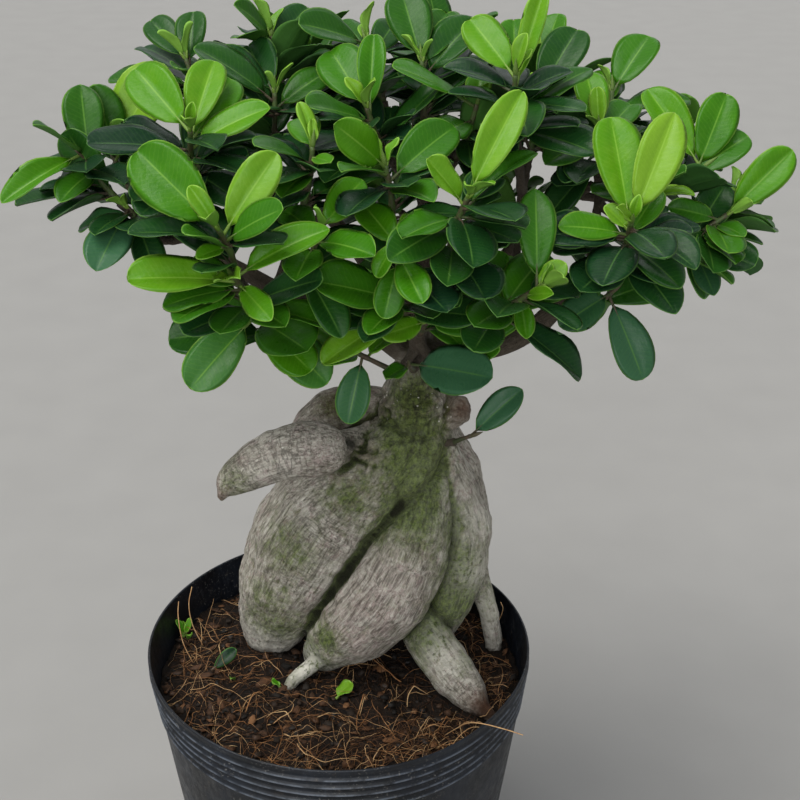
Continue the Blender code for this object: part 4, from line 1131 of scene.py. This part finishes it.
def make_stub_skin(twigs, materials, rng):
    """The short woody stubs that carry the shoots, with small swellings along them."""
    skin = Skin()
    for twig in twigs.values():
        a, b, c = (Vector(p) for p in twig.stub)
        route = []
        for i in range(STUB_STEPS + 1):
            t = i / STUB_STEPS
            point = (1 - t) ** 2 * a + 2 * t * (1 - t) * b + t ** 2 * c
            point.w += STUB_KNOT * math.sin(i * 2.1) * (0.4 + rng.random())
            route.append(point)
        skin.add_tube(route, 9, 0, (rng.random(), rng.random(), 0.0))
    return skin.build("shoot_stubs", materials)

# Pot, soil and litter

def ring_mesh(name, rings):
    """A closed skin of rings of points in mm."""
    mesh = bpy.data.meshes.new(name)
    points = [point * MM for ring in rings for point in ring]
    mesh.from_pydata(points, [], ring_faces(len(rings), len(rings[0])))
    return mesh


def turns(sides):
    return [math.tau * k / sides for k in range(sides)]


def between(start, end, steps):
    return [start + (end - start) * i / steps for i in range(steps + 1)]


def pot_ring(r, z):
    """A ring of the soft wall, with its small waves, which grow toward the top."""
    ring = []
    for angle in turns(POT_SKIN_SIDES):
        place = Vector((*around(1.3, angle), z / 90.0))
        reach = r + (POT_WOBBLE * noise.noise(place) * z / POT_HEIGHT - 0.2)
        ring.append(warp(Vector((*around(reach, angle), z))))
    return ring


def rib_crest(z):
    """1 on the crest of a rib and 0 between ribs or off their band."""
    down = (RIB_TOP_Z + RIB_PITCH / 2 - z) / RIB_PITCH
    if not 0 < down < RIB_COUNT:
        return 0.0
    return (0.5 - 0.5 * math.cos(math.tau * down)) ** 2.2


def pot_profile():
    """Radius and height of the pot's rings: up inside, over the lip and down its ribs."""
    ribs_from = RIB_TOP_Z + RIB_PITCH / 2
    ribs_to = RIB_TOP_Z - (RIB_COUNT - 0.5) * RIB_PITCH
    profile = [(r, POT_FLOOR) for r in FLOOR_RINGS]
    for z in between(POT_FLOOR, POT_HEIGHT - 1.5, WALL_STEPS):
        profile.append((pot_outer_r(z) - POT_WALL, z))
    for turn in between(0.0, math.pi, LIP_STEPS):
        profile.append((POT_RIM_R - 0.7 - LIP_R * math.cos(turn),
                        POT_HEIGHT - 0.8 + LIP_R * math.sin(turn)))
    profile.append((pot_outer_r(ribs_from + 1.5), ribs_from + 1.5))
    for z in between(ribs_from, ribs_to, RIB_COUNT * RIB_SAMPLES):
        profile.append((pot_outer_r(z) + RIB_PROUD * (1.5 * rib_crest(z) - 0.3), z))
    for z in between(ribs_to, POT_FLOOR + 1.5, LOW_WALL_STEPS)[1:]:
        profile.append((pot_outer_r(z), z))
    profile += [(POT_BASE_R - inset, z) for inset, z in FOOT]
    return profile + [(r, 0.0) for r in reversed(FLOOR_RINGS)]


def make_pot_skin(materials):
    mesh = ring_mesh("pot_skin", [pot_ring(r, z) for r, z in pot_profile()])
    pot = add_object("pot_skin", mesh)
    bm = bmesh.new()
    bm.from_mesh(mesh)
    bmesh.ops.recalc_face_normals(bm, faces=bm.faces)
    bm.to_mesh(mesh)
    bm.free()
    drills = Skin()
    for i in range(DRAIN_HOLES):
        x, y = around(DRAIN_CIRCLE_R, math.tau * (i + DRAIN_TURN) / DRAIN_HOLES)
        route = ((x, y, -3, DRAIN_HOLE_R), (x, y, 6, DRAIN_HOLE_R))
        drills.add_tube(route, 24, 0, (0.0, 0.0, 0.0))
    drill = drills.build("drill", [])
    cut = pot.modifiers.new("Drain holes", "BOOLEAN")
    cut.operation = "DIFFERENCE"
    cut.object = drill
    mesh = evaluated_mesh(pot)
    pot.modifiers.clear()
    pot.data = mesh
    bpy.data.objects.remove(drill, do_unlink=True)
    crests = np.zeros((len(mesh.vertices), 3))
    for i, (x, y, z) in enumerate(vertex_values(mesh, "co") / MM):
        z = z / (1 - RIM_TILT * x / (POT_RIM_R * POT_HEIGHT))
        if math.hypot(x, y) > pot_outer_r(z) - DENT - 0.6:
            crests[i, 0] = rib_crest(z)
    add_values(mesh, "form", crests)
    for material in materials:
        mesh.materials.append(material)
    mesh.shade_smooth()
    mesh.set_sharp_from_angle(angle=math.radians(50))
    return pot


def clod(place, span, shift):
    far = noise.voronoi(place / span + Vector((shift, shift, shift)))[0][0]
    return 1.0 - min(1.0, far * CLOD_STEEPNESS)


def clod_height(x, y):
    """The soil's crumbly top: lumps of two sizes over its slow swell."""
    place = Vector((x, y, 0.0))
    (big_span, big), (small_span, small) = BIG_CLOD, SMALL_CLOD
    patch = 0.5 + 0.5 * noise.noise(place / CLOD_PATCH)
    grit = sum(height * noise.noise(place / span) for span, height in GRIT)
    return (soil_height(x, y) + big * clod(place, big_span, 0) * patch
            + small * clod(place, small_span, 5) - small + grit)


def soil_ring(reach, z=None):
    """A ring of the soil's side at a height, or of its crumbly top if none is given."""
    ring = []
    for angle in turns(SOIL_SKIN_SIDES):
        x, y = around(reach, angle)
        ring.append(warp(Vector((x, y, clod_height(x, y) if z is None else z))))
    return ring


def make_soil_skin(materials):
    floor = POT_FLOOR + FIT_GAP
    side_gap = POT_WALL + FIT_GAP + 0.25
    edge_r = pot_outer_r(SOIL_EDGE_Z) - side_gap
    rings = [soil_ring(20.0, floor)]
    for share in (0.0, 0.25, 0.5, 0.75, 0.96):
        z = floor + (SOIL_EDGE_Z - floor) * share
        rings.append(soil_ring(pot_outer_r(z) - side_gap, z))
    for i in range(SOIL_SKIN_RINGS, 0, -1):
        rings.append(soil_ring(edge_r * (i / SOIL_SKIN_RINGS) ** 0.8))
    mesh = ring_mesh("soil_skin", rings)
    mesh.shade_smooth()
    return add_object("soil_skin", mesh, materials)


def root_tree(rootstock):
    mesh = rootstock.data
    points = [v.co / MM for v in mesh.vertices]
    return BVHTree.FromPolygons(points, [p.vertices[:] for p in mesh.polygons])


def clear_of_roots(tree, point, gap):
    place, normal, _, far = tree.find_nearest(point)
    return (point - place).dot(normal) > 0 and far > gap


def any_place(rng, limit):
    return around(limit * math.sqrt(rng.random()), rng.uniform(0, math.tau))


def make_fibres(tree, rng, materials):
    """Coir fibres that lie tangled on the soil, some of them in tufts or standing out of it."""
    skin = Skin()
    limit = pot_outer_r(SOIL_EDGE_Z) - LITTER_MARGIN
    made = 0
    while made < FIBRES:
        if rng.random() < TUFT_SHARE:
            x, y, spread = rng.choice(TUFTS)
            x, y = rng.gauss(x, spread), rng.gauss(y, spread)
        else:
            x, y = any_place(rng, limit)
        kind = rng.random()
        lift = rng.choice(FIBRE_LIFTS) if kind < LYING_SHARE else rng.uniform(*HIGH_FIBRE_LIFT)
        radius = rng.choice(FIBRE_RADII) * (1.0 if kind < THIN_SHARE else 1.5)
        steps = rng.randint(*FIBRE_STEPS)
        stride = rng.uniform(*FIBRE_STRIDE)
        heading = rng.uniform(0, math.tau)
        bend = rng.gauss(0, FIBRE_BEND)
        tilt = rng.uniform(*FIBRE_TILT)
        route = []
        for i in range(steps):
            t = i / (steps - 1)
            arch = math.sin(math.pi * min(1.0, 0.05 + (0.9 - 0.35 * tilt) * t))
            point = Vector((x, y, clod_height(x, y) - 0.1 + lift * arch))
            if math.hypot(x, y) > limit or not clear_of_roots(tree, point, radius):
                break
            route.append((*warp(point), radius * (1 - FIBRE_TAPER * t)))
            heading += bend + rng.gauss(0, FIBRE_WANDER)
            x += stride * math.cos(heading)
            y += stride * math.sin(heading)
        if len(route) < FIBRE_LEAST_STEPS:
            continue
        shade = rng.random() ** 1.5 if kind < DARK_SHARE else rng.uniform(0.75, 1.0)
        skin.add_tube(smooth_route(route, 2), 3, 0, (shade, rng.random(), 0.0))
        made += 1
    for route in STRAYS:
        route = smooth_route([(*warp(Vector(p)), STRAY_R) for p in route], 4)
        skin.add_tube(route, 4, 0, (0.9, 0.5, 0.0))
    return skin.build("coir_fibres", materials)


def make_crumbs(tree, rng, materials):
    """Loose lumps of mix, and flat chips of bark, on the soil."""
    skin = Skin()
    unit, triangles = unit_ball(2)
    least, more, power = CRUMB_SIZE
    made = 0
    while made < CRUMBS + CHIPS:
        chip = made >= CRUMBS
        x, y = any_place(rng, pot_outer_r(SOIL_EDGE_Z) - LITTER_MARGIN)
        size = rng.uniform(*CHIP_SIZE) if chip else least + more * rng.random() ** power
        centre = Vector((x, y, clod_height(x, y) + 0.35 * size))
        if not clear_of_roots(tree, centre, size):
            continue
        flat, long = (rng.uniform(*limits) for limits in (CHIP_FORM if chip else CRUMB_FORM))
        lean = Vector((rng.gauss(0, CHIP_LEAN), rng.gauss(0, CHIP_LEAN), 1)) if chip else UP
        turn = UP.rotation_difference(lean) @ Quaternion(UP, rng.uniform(0, math.tau))
        shift = Vector((made, made * 0.37, 0))
        points = []
        for p in unit:
            q = p * (1 + 0.55 * noise.noise(p * 1.7 + shift) + 0.25 * noise.noise(p * 4.0 + shift))
            points.append(warp(centre + turn @ Vector((q.x * long, q.y, q.z * flat)) * size))
        shade = rng.uniform(*CHIP_SHADE) if chip else rng.random() * CRUMB_SHADE
        local = [(0.0, 0.0, 0.0)] * len(points)
        skin.add(points, triangles, [0] * len(triangles), local, (shade, rng.random(), 0.0))
        made += 1
    return skin.build("soil_crumbs", materials)


def make_weeds(rng, materials):
    """Small green things on the soil: a round seedling leaf, sprouts and a fallen leaf."""
    skin = Skin()
    for (x, y), azimuth, rise, length, ratio, age, roll in WEEDS:
        foot = warp(Vector((x, y, clod_height(x, y) + 1.0)))
        aim, normal = aimed(azimuth, rise, roll)
        leaf = Leaf(foot, aim, normal, length, length * ratio, WEED_BEND, WEED_FOLD)
        add_leaf(skin, leaf, age, rng)
    return skin.build("weeds", materials)

# Materials

class Value:
    """A node's output to reckon with: each operation makes a Math node."""

    def __init__(self, shader, socket):
        self.shader = shader
        self.socket = socket

    def reckon(self, operation, other=0.0):
        return self.shader.node("Math", {0: self, 1: other}, operation=operation)

    def __add__(self, other):
        return self.reckon("ADD", other)

    def __sub__(self, other):
        return self.reckon("SUBTRACT", other)

    def __mul__(self, other):
        return self.reckon("MULTIPLY", other)

    def __truediv__(self, other):
        return self.reckon("DIVIDE", other)

    def __abs__(self):
        return self.reckon("ABSOLUTE")

    def greater(self, other):
        return self.reckon("MAXIMUM", other)

    def band(self, low, high):
        """0 below low and 1 above high; the other way round if low is the greater."""
        return self.shader.node("MapRange", {"Value": self, "From Min": low, "From Max": high},
                                interpolation_type="SMOOTHSTEP")

    def spread(self, low, high, start=0.0, end=1.0):
        """Values from start to end spread out from low to high."""
        return self.shader.node("MapRange", {"Value": self, "From Min": start, "From Max": end,
                                             "To Min": low, "To Max": high})


class Shader:
    """A material's nodes by short calls, which take numbers, colours and values alike."""

    def __init__(self, name, ior, specular=0.5):
        self.material = bpy.data.materials.new(name)
        self.material.use_nodes = True
        self.tree = self.material.node_tree
        self.surface = self.tree.nodes["Principled BSDF"]
        self.put("IOR", ior)
        self.put("Specular IOR Level", specular)
        self.place = self.in_mm()

    def put(self, key, value, inputs=None):
        socket = (inputs or self.surface.inputs)[key]
        if isinstance(value, Value):
            self.tree.links.new(value.socket, socket)
        elif isinstance(value, tuple) and socket.type == "RGBA":
            socket.default_value = (*value, 1.0)
        else:
            socket.default_value = value

    def node(self, kind, inputs, output=0, **settings):
        """Makes a node, and gives one of its outputs."""
        made = self.tree.nodes.new("ShaderNode" + kind)
        for key, value in settings.items():
            setattr(made, key, value)
        for key, value in inputs.items():
            self.put(key, value, made.inputs)
        return Value(self, made.outputs[output])

    def in_mm(self, upward=1.0):
        """Object coordinates in mm, with their z times upward."""
        where = self.node("TexCoord", {}, "Object")
        scale = (1.0 / MM, 1.0 / MM, upward / MM)
        return self.node("VectorMath", {0: where, 1: scale}, operation="MULTIPLY")

    def attribute(self, name):
        return self.node("Attribute", {}, "Vector", attribute_name=name)

    def split(self, vector):
        return [self.node("SeparateXYZ", {0: vector}, axis) for axis in range(3)]

    def noise(self, span, detail=3.0, rough=0.55, where=None, run=None):
        """Noise with lumps of a span in mm; run adds a fourth direction."""
        inputs = {"Vector": where or self.place, "Scale": 1.0 / span, "Detail": detail,
                  "Roughness": rough}
        if run is not None:
            inputs["W"] = run
        return self.node("TexNoise", inputs, noise_dimensions="3D" if run is None else "4D")

    def mix(self, share, a, b):
        return self.node("Mix", {0: share, 6: a, 7: b}, 2, data_type="RGBA")

    def paint(self, *coats):
        """Lays coats of (share of 0 to 1, colour) over the colour so far, one by one."""
        for share, colour in coats:
            self.colour = self.mix(share, self.colour, colour)

    def ramp(self, share, stops):
        ramp = self.node("ValToRGB", {0: share})
        elements = ramp.socket.node.color_ramp.elements
        while len(elements) < len(stops):
            elements.new(0.5)
        for element, (position, colour) in zip(elements, stops):
            element.position = position
            element.color = (*colour, 1.0)
        return ramp

    def finish(self, rough, *bumps):
        """Gives the surface its colour, roughness and bumps of (height, depth in mm)."""
        self.put("Base Color", self.colour)
        self.put("Roughness", rough)
        below = {}
        for height, depth in bumps:
            normal = self.node("Bump", {"Height": height, "Distance": depth * MM,
                                        "Strength": 1.0, **below})
            below = {"Normal": normal}
        if bumps:
            self.put("Normal", normal)
        return self.material


# Colours by age; the darkest stops also serve as painted shade for the leaves inside the crown
LEAF_COLOURS = ((0.0, (0.165, 0.330, 0.020)), (0.2, (0.070, 0.230, 0.004)),
                (0.4, (0.034, 0.150, 0.003)), (0.65, (0.021, 0.096, 0.006)),
                (0.85, (0.010, 0.050, 0.010)), (1.0, (0.006, 0.029, 0.011)))
RIM_COLOURS = ((0.0, (0.30, 0.52, 0.07)), (0.5, (0.17, 0.36, 0.045)), (1.0, (0.085, 0.21, 0.045)))
UNDER_COLOURS = ((0.0, (0.24, 0.46, 0.07)), (0.5, (0.085, 0.22, 0.030)),
                 (1.0, (0.030, 0.092, 0.028)))
TWIG_COLOURS = ((0.0, (0.22, 0.36, 0.05)), (0.5, (0.075, 0.13, 0.028)),
                (1.0, (0.040, 0.050, 0.020)))
# A pale bluish-grey for old hanging leaves: their waxy bloom, and a painted reflection of the sky
LEAF_BLOOM_AND_SHEEN = (0.042, 0.128, 0.060)
LEAF_SPECK = (0.14, 0.17, 0.05)
VEIN_PITCH = 2.3
VEIN_SLANT = 0.55

# Shades by each piece's own tint
FIBRE_SHADES = ((0.0, (0.020, 0.010, 0.005)), (0.45, (0.10, 0.044, 0.017)),
                (0.78, (0.34, 0.150, 0.052)), (1.0, (0.66, 0.44, 0.22)))
CRUMB_SHADES = ((0.0, (0.004, 0.003, 0.002)), (0.5, (0.020, 0.012, 0.007)),
                (0.8, (0.085, 0.037, 0.015)), (1.0, (0.20, 0.095, 0.040)))

# Colours of the bark
PALE, MID, DARK = (0.55, 0.515, 0.445), (0.355, 0.325, 0.27), (0.062, 0.050, 0.036)
PLUM, CREAM, BEAD = (0.32, 0.215, 0.21), (0.74, 0.71, 0.62), (0.72, 0.70, 0.62)
BRANCH = (0.028, 0.020, 0.013), (0.125, 0.098, 0.070)
KNOT = (0.026, 0.022, 0.011), (0.22, 0.18, 0.13)
ALGAE = (0.026, 0.046, 0.006), (0.140, 0.200, 0.028)
WOUND = (0.045, 0.022, 0.014), (0.17, 0.085, 0.050)
# Painted shade: the crease, seam and dent colours darken the roots' creases, crevices and knot
# dents
ALGAE_DEEP, CREASE_SHADE = (0.020, 0.026, 0.007), (0.018, 0.019, 0.008)
SEAM_SHADE, DENT_SHADE, EARTH = (0.012, 0.012, 0.005), (0.020, 0.018, 0.008), (0.035, 0.020, 0.012)

# Noises of the bark. Round ones: span, detail, roughness. Those drawn out along the roots
# also have how fast they change along a root.
ROUND_NOISES = ((2.2, 6.0, 0.72), (15.0, 4.0, 0.62), (3.6, 5.0, 0.72), (7.5, 5.0, 0.72))
DRAWN_NOISES = ((1.6, 5.0, 0.62, 0.075), (0.7, 3.0, 0.6, 0.12), (5.0, 3.0, 0.55, 0.22),
                (1.3, 2.0, 0.5, 0.05), (11.0, 4.0, 0.6, 4.2))


def leaf_material(name, under):
    """Leaf skin. Each leaf carries its age and tint, and each point its place on the blade."""
    s = Shader(name, 1.42, 0.25)
    along, out, edge = s.split(s.attribute("local"))
    age, tint, bloom_and_sheen = s.split(s.attribute("look"))
    age = age + (s.noise(11.0) - 0.5) * 0.20 + (tint - 0.5) * 0.12
    # Painted reflection: old hanging leaves get a pale bluish-grey for the sky's sheen, with their
    # bloom
    s.colour = s.mix(bloom_and_sheen * 0.8, s.ramp(age, LEAF_COLOURS), LEAF_BLOOM_AND_SHEEN)
    slant = (along - abs(out) * VEIN_SLANT) / VEIN_PITCH + s.noise(4.0, 2.0) * 1.1
    vein = slant.reckon("PINGPONG", 0.5).band(0.16, 0.0) * edge.band(0.4, 2.5)
    rib = abs(out).band(0.60, 0.15) * edge.band(0.5, 9.0)
    pale = s.ramp(age, RIM_COLOURS)
    s.paint((vein * 0.09, pale), (rib * 0.42, pale), (edge.band(0.85, 0.30) * 0.75, pale))
    if under:
        s.paint((0.7, s.ramp(age, UNDER_COLOURS)))
    s.paint((s.noise(1.5, 2.0).band(0.74, 0.82) * 0.25, LEAF_SPECK))
    gloss = (0.45, 0.62) if under else (0.24, 0.42)
    return s.finish(s.noise(4.5).spread(*gloss, 0.3, 0.7), (s.noise(3.5, 2.0), 0.22),
                    (s.noise(0.6, 2.0), 0.02))


def twig_material():
    s = Shader("green_twig", 1.45)
    age = s.split(s.attribute("look"))[0]
    s.colour = s.ramp(age, TWIG_COLOURS)
    brown = s.mix(s.noise(1.2), (0.045, 0.030, 0.018), (0.12, 0.085, 0.055))
    s.paint((s.noise(5.0).band(0.38, 0.55) * age.band(0.30, 0.7), brown))
    return s.finish(s.noise(2.0).spread(0.38, 0.7), (s.noise(0.8), 0.25))


def bark_material(name, woody):
    """Wrinkled bark. The woody kind is for the thin stubs, which carry no root values."""
    s = Shader(name, 1.4, 0.35)
    run, hollow, algae = s.split(s.attribute("bark"))
    scar, flush, cream = s.split(s.attribute("stain"))
    grain = s.place if woody else s.attribute("grain")
    drawn, fine, thread, lines, rings = (
        s.noise(*row, grain, 0.0 if woody else run * speed) for *row, speed in DRAWN_NOISES)
    knobs, patches, mottle, blush = (s.noise(*row) for row in ROUND_NOISES)
    branch = s.noise(1.8 if woody else 2.4, 4.0)
    plum = blush.band(0.50, 0.62).greater(flush * mottle.band(0.40, 0.56))
    valley = drawn.band(0.51, 0.37)
    s.colour = s.mix(patches.band(0.36, 0.66), MID, PALE)
    s.paint((plum * 0.60, PLUM), (mottle.band(0.54, 0.70) * 0.55, CREAM),
            (drawn.band(0.55, 0.68) * 0.5, CREAM), (valley * 0.38, DARK),
            (knobs.band(0.44, 0.32) * 0.28, DARK), (fine.band(0.43, 0.32) * 0.30, DARK),
            (abs(thread - 0.5).band(0.024, 0.004) * 0.36, DARK),
            (lines.band(0.48, 0.34) * 0.60, DARK), (lines.band(0.54, 0.68) * 0.36, CREAM))
    rough = mottle.spread(0.62, 0.95)
    bumps = [(lines, 0.6), (drawn, 1.3), (knobs, 1.2), (fine, 0.5), (s.noise(0.45, 2.0), 0.2)]
    if woody:
        s.paint((0.92, s.mix(branch, *BRANCH)))
        return s.finish(rough, *bumps)
    radius, crease, cracked = s.split(s.attribute("form"))
    knotty, dent, seam = s.split(s.attribute("knot"))
    height = s.split(s.place)[2]
    ring = abs(rings - 0.5).band(0.040, 0.006) * (cracked * 0.52 + 0.10)
    bumps.insert(4, (ring, -1.0))
    dapple = s.noise(5.5, 6.0, 0.75) - 0.5
    film = (algae + dapple * 1.2 + crease * 0.45).band(0.14, 0.84)
    green = s.mix(s.noise(2.2, 6.0, 0.75).band(0.34, 0.66), *ALGAE)
    green = s.mix(valley * 0.6, green, ALGAE_DEEP)
    # Painted shade: the roots' creases and hollows are darkened where shade falls in them
    deep = crease.band(0.38, 0.95).greater(hollow * 0.32)
    white = cream * s.noise(2.8, 4.0).band(0.33, 0.52)
    cells = s.node("TexVoronoi", {"Vector": s.place, "Scale": 1.0 / 3.4}, "Distance")
    beads = (cells.band(0.20, 0.12) * height.band(318.0, 328.0) * height.band(348.0, 338.0)
             * s.noise(6.0).band(0.46, 0.58))
    thin = radius.band(10.0, 6.5) * height.band(335.0, 350.0)
    splash = height.band(196.0, 166.0) * s.noise(3.2, 3.0).band(0.52, 0.62)
    earth = height.band(170.0, 158.0) * s.noise(4.0).band(0.35, 0.6)
    s.paint((ring, DARK), (knotty * 0.84, s.mix(knobs.band(0.35, 0.62), *KNOT)),
            # Painted shade: the deep creases and the dents between knot lumps are darkened
            (film * 0.86, green), (deep * 0.88, CREASE_SHADE), (dent * knotty * 0.8, DENT_SHADE),
            # Painted shade: the seams between lobes and the shaded hollows are darkened
            ((seam + dapple * 0.9).band(0.30, 0.95) * 0.85, SEAM_SHADE), (white * 0.75, CREAM),
            (beads * 0.8, BEAD), (thin * 0.96, s.mix(branch, *BRANCH)), (splash * 0.55, CREAM),
            (scar * 0.9, s.mix(s.noise(1.6, 4.0), *WOUND)), (earth * 0.8, EARTH))
    return s.finish(rough, *bumps)


def pot_material():
    """Black plastic with pale scuffs, a painted pale highlight with some wear on the rib crests,
    flecks and a little dried mud.
    """
    s = Shader("scuffed_plastic", 1.48, 0.4)
    crest = s.split(s.attribute("form"))[0]
    cloud = s.noise(22.0, 5.0, 0.6).band(0.35, 0.65)
    streak = s.noise(1.6, 4.0, 0.65, s.in_mm(0.05)).band(0.52, 0.72)
    streak = streak * s.noise(16.0).band(0.40, 0.62)
    # Painted highlight: the rib crests are paler for the light they catch, with some wear
    crest_sheen_and_wear = crest.band(0.45, 1.0) * s.noise(7.0, 4.0).band(0.30, 0.62)
    flecks = s.noise(1.2).band(0.61, 0.67) * s.noise(20.0).band(0.42, 0.6)
    mud = s.noise(5.0, 5.0, 0.7).band(0.60, 0.70)
    s.colour = s.mix(cloud, (0.0018, 0.0028, 0.005), (0.006, 0.009, 0.015))
    s.paint((streak * 0.30, (0.050, 0.058, 0.074)), (crest_sheen_and_wear * 0.55, (0.16, 0.185, 0.225)),
            (flecks * 0.4, (0.26, 0.25, 0.23)), (mud * 0.20, (0.085, 0.062, 0.042)))
    rough = s.noise(6.0, 5.0, 0.7).spread(0.32, 0.58, 0.3, 0.7).greater(flecks * 0.9)
    return s.finish(rough, (s.noise(9.0, 2.0, where=s.in_mm(0.25)), 0.5), (s.noise(0.8), 0.05))


def soil_material():
    s = Shader("potting_mix", 1.4, 0.35)
    s.colour = s.mix(s.noise(3.0, 6.0, 0.75), (0.002, 0.0015, 0.001), (0.020, 0.011, 0.006))
    s.paint((s.noise(1.1, 4.0, 0.7).band(0.55, 0.68) * 0.5, (0.13, 0.058, 0.023)),
            (s.noise(8.0).band(0.55, 0.40) * 0.7, (0.008, 0.006, 0.005)))
    return s.finish(s.noise(2.0).spread(0.7, 1.0), (s.noise(1.0, 5.0, 0.75), 1.0))


def litter_material(name, stops, span):
    """Fibres and crumbs: each has its own shade from a run of colours."""
    s = Shader(name, 1.4)
    shade, tint, _ = s.split(s.attribute("look"))
    s.colour = s.ramp(shade + (s.noise(span) - 0.5) * 0.5, stops)
    return s.finish(tint.spread(0.5, 0.9), (s.noise(span * 0.3), 0.2))


def floor_material():
    s = Shader("pale_floor", 1.4)
    s.colour = s.mix(s.noise(60.0, 4.0), (0.275, 0.270, 0.260), (0.315, 0.309, 0.298))
    return s.finish(s.noise(30.0).spread(0.7, 0.9))


# Building

def finish_piece(piece, slot, *nodes):
    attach(piece, "root")
    if nodes:
        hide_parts(*nodes)


def shoot_slot(name):
    for row in frame["record"]["subparts"]:
        if row["node"] == name:
            return row["material_slot"]


def build_shoot(crown, shoot, materials, rng):
    """One shoot as one piece. Leaves lower on its twig are older."""
    skin = Skin()
    twig = crown.twigs[shoot.name]
    leaves = crown.leaves[shoot.name]
    bare = shoot.name in BARE_SHOOTS
    curls = {i: curl for i, *curl in CURLS.get(shoot.name, ())}
    blooms_and_sheen = dict(BLOOMS_AND_SHEEN.get(shoot.name, ()))
    tip_age = RULE_AGE if shoot.leaves else rng.choice(REAR_AGES)
    for i, leaf in enumerate(leaves):
        if i < len(shoot.ages):
            age = shoot.ages[i]
        else:
            down = (leaf.base - twig.tip).length / (twig.start - twig.tip).length
            jitter = rng.uniform(-AGE_JITTER, AGE_JITTER)
            age = min(1.0, tip_age + FOOT_AGE * min(1.0, down) + jitter)
        add_leaf(skin, leaf, age, rng, curls.get(i, (1.0, 0.0)), blooms_and_sheen.get(i, 0.0))
    if not bare:
        for leaf in place_young_leaves(crown, shoot, rng):
            add_leaf(skin, leaf, YOUNG_AGE, rng)
        # The inner leaves' dark ages are partly painted shade of the crown's inside
        inner_ages_and_shade = LOW_INNER_AGES if twig.tip.z < LOW_SHOOT_Z else INNER_AGES_AND_SHADE
        inner = place_inner_leaves(crown, shoot, rng)
        for leaf in inner:
            add_leaf(skin, leaf, rng.uniform(*inner_ages_and_shade), rng)
        leaves = leaves + inner
    add_twig(skin, twig, leaves, 1.0 if bare else 0.3 + 0.6 * tip_age, rng)
    node = "shoot_" + shoot.name
    finish_piece(skin.build(node + "_skin", materials), shoot_slot(node), node)


def make_plant():
    twigs = plan_twigs()
    crown = grow_crown(twigs)
    green = [leaf_material("leaf_top", False), leaf_material("leaf_underside", True),
             twig_material()]
    for i, shoot in enumerate(SHOOTS):
        build_shoot(crown, shoot, green, random.Random(SEED + 1000 + i))
    rootstock = make_rootstock_skin([bark_material("bark", False)])
    finish_piece(rootstock, "bark", "rootstock")
    stubs = make_stub_skin(twigs, [bark_material("stub_bark", True)], random.Random(SEED + 2000))
    finish_piece(stubs, "bark")
    finish_piece(make_pot_skin([pot_material()]), "black_plastic", "pot")
    finish_piece(make_soil_skin([soil_material()]), "coir_soil", "soil")
    tree = root_tree(rootstock)
    fibre = litter_material("coir", FIBRE_SHADES, 3.0)
    finish_piece(make_fibres(tree, random.Random(SEED + 3000), [fibre]), "coir_soil")
    crumb = litter_material("crumbs", CRUMB_SHADES, 1.5)
    finish_piece(make_crumbs(tree, random.Random(SEED + 4000), [crumb]), "coir_soil")
    finish_piece(make_weeds(random.Random(SEED + 5000), green), "young_leaf")


def make_floor():
    bm = bmesh.new()
    bmesh.ops.create_grid(bm, x_segments=2, y_segments=2, size=FLOOR_HALF)
    mesh = bpy.data.meshes.new("floor")
    bm.to_mesh(mesh)
    bm.free()
    add_object("floor", mesh, [floor_material()])


# The photo's light and camera. Each lamp: the direction that it shines from, its width in
# degrees, strength and colour. Places are in metres.
LAMPS = {"key": ((-0.73, -0.35, 1.78), 44.0, 2.6, (1.0, 0.98, 0.94)),
         "fill": ((-0.3, -2.0, 0.7), 50.0, 1.5, (0.97, 0.985, 1.0)),
         "back": ((0.4, 1.7, 1.5), 40.0, 0.3, (0.96, 0.98, 1.0))}
SKY_COLOUR = (0.93, 0.96, 1.0, 1.0)
SKY_STRENGTH = 0.45
FLOOR_HALF = 40.0
CAMERA_PLACE = (0.0346, -0.618, 0.6467)
CAMERA_DOWN = 26.4
SENSOR = 36.0
FOCAL_PIXELS = 1308.0
PHOTO_PIXELS = 800.0


def make_light():
    world = bpy.data.worlds.new("studio")
    world.use_nodes = True
    bpy.context.scene.world = world
    sky = world.node_tree.nodes["Background"]
    sky.inputs["Color"].default_value = SKY_COLOUR
    sky.inputs["Strength"].default_value = SKY_STRENGTH
    for name, (place, spread, strength, colour) in LAMPS.items():
        lamp = bpy.data.lights.new(name, "SUN")
        lamp.angle = math.radians(spread)
        lamp.energy = strength
        lamp.color = colour
        obj = add_object(name, lamp)
        obj.location = place
        obj.rotation_euler = Vector(place).to_track_quat("Z", "Y").to_euler()
    bpy.context.scene.view_settings.view_transform = "Standard"


def make_camera():
    camera = bpy.data.cameras.new("camera")
    camera.sensor_width = SENSOR
    camera.lens = FOCAL_PIXELS / PHOTO_PIXELS * SENSOR
    obj = add_object("camera", camera)
    obj.location = CAMERA_PLACE
    obj.rotation_euler = (math.radians(90.0 - CAMERA_DOWN), 0.0, 0.0)
    bpy.context.scene.camera = obj


make_camera()
make_light()
make_floor()
make_plant()
bpy.context.view_layer.update()
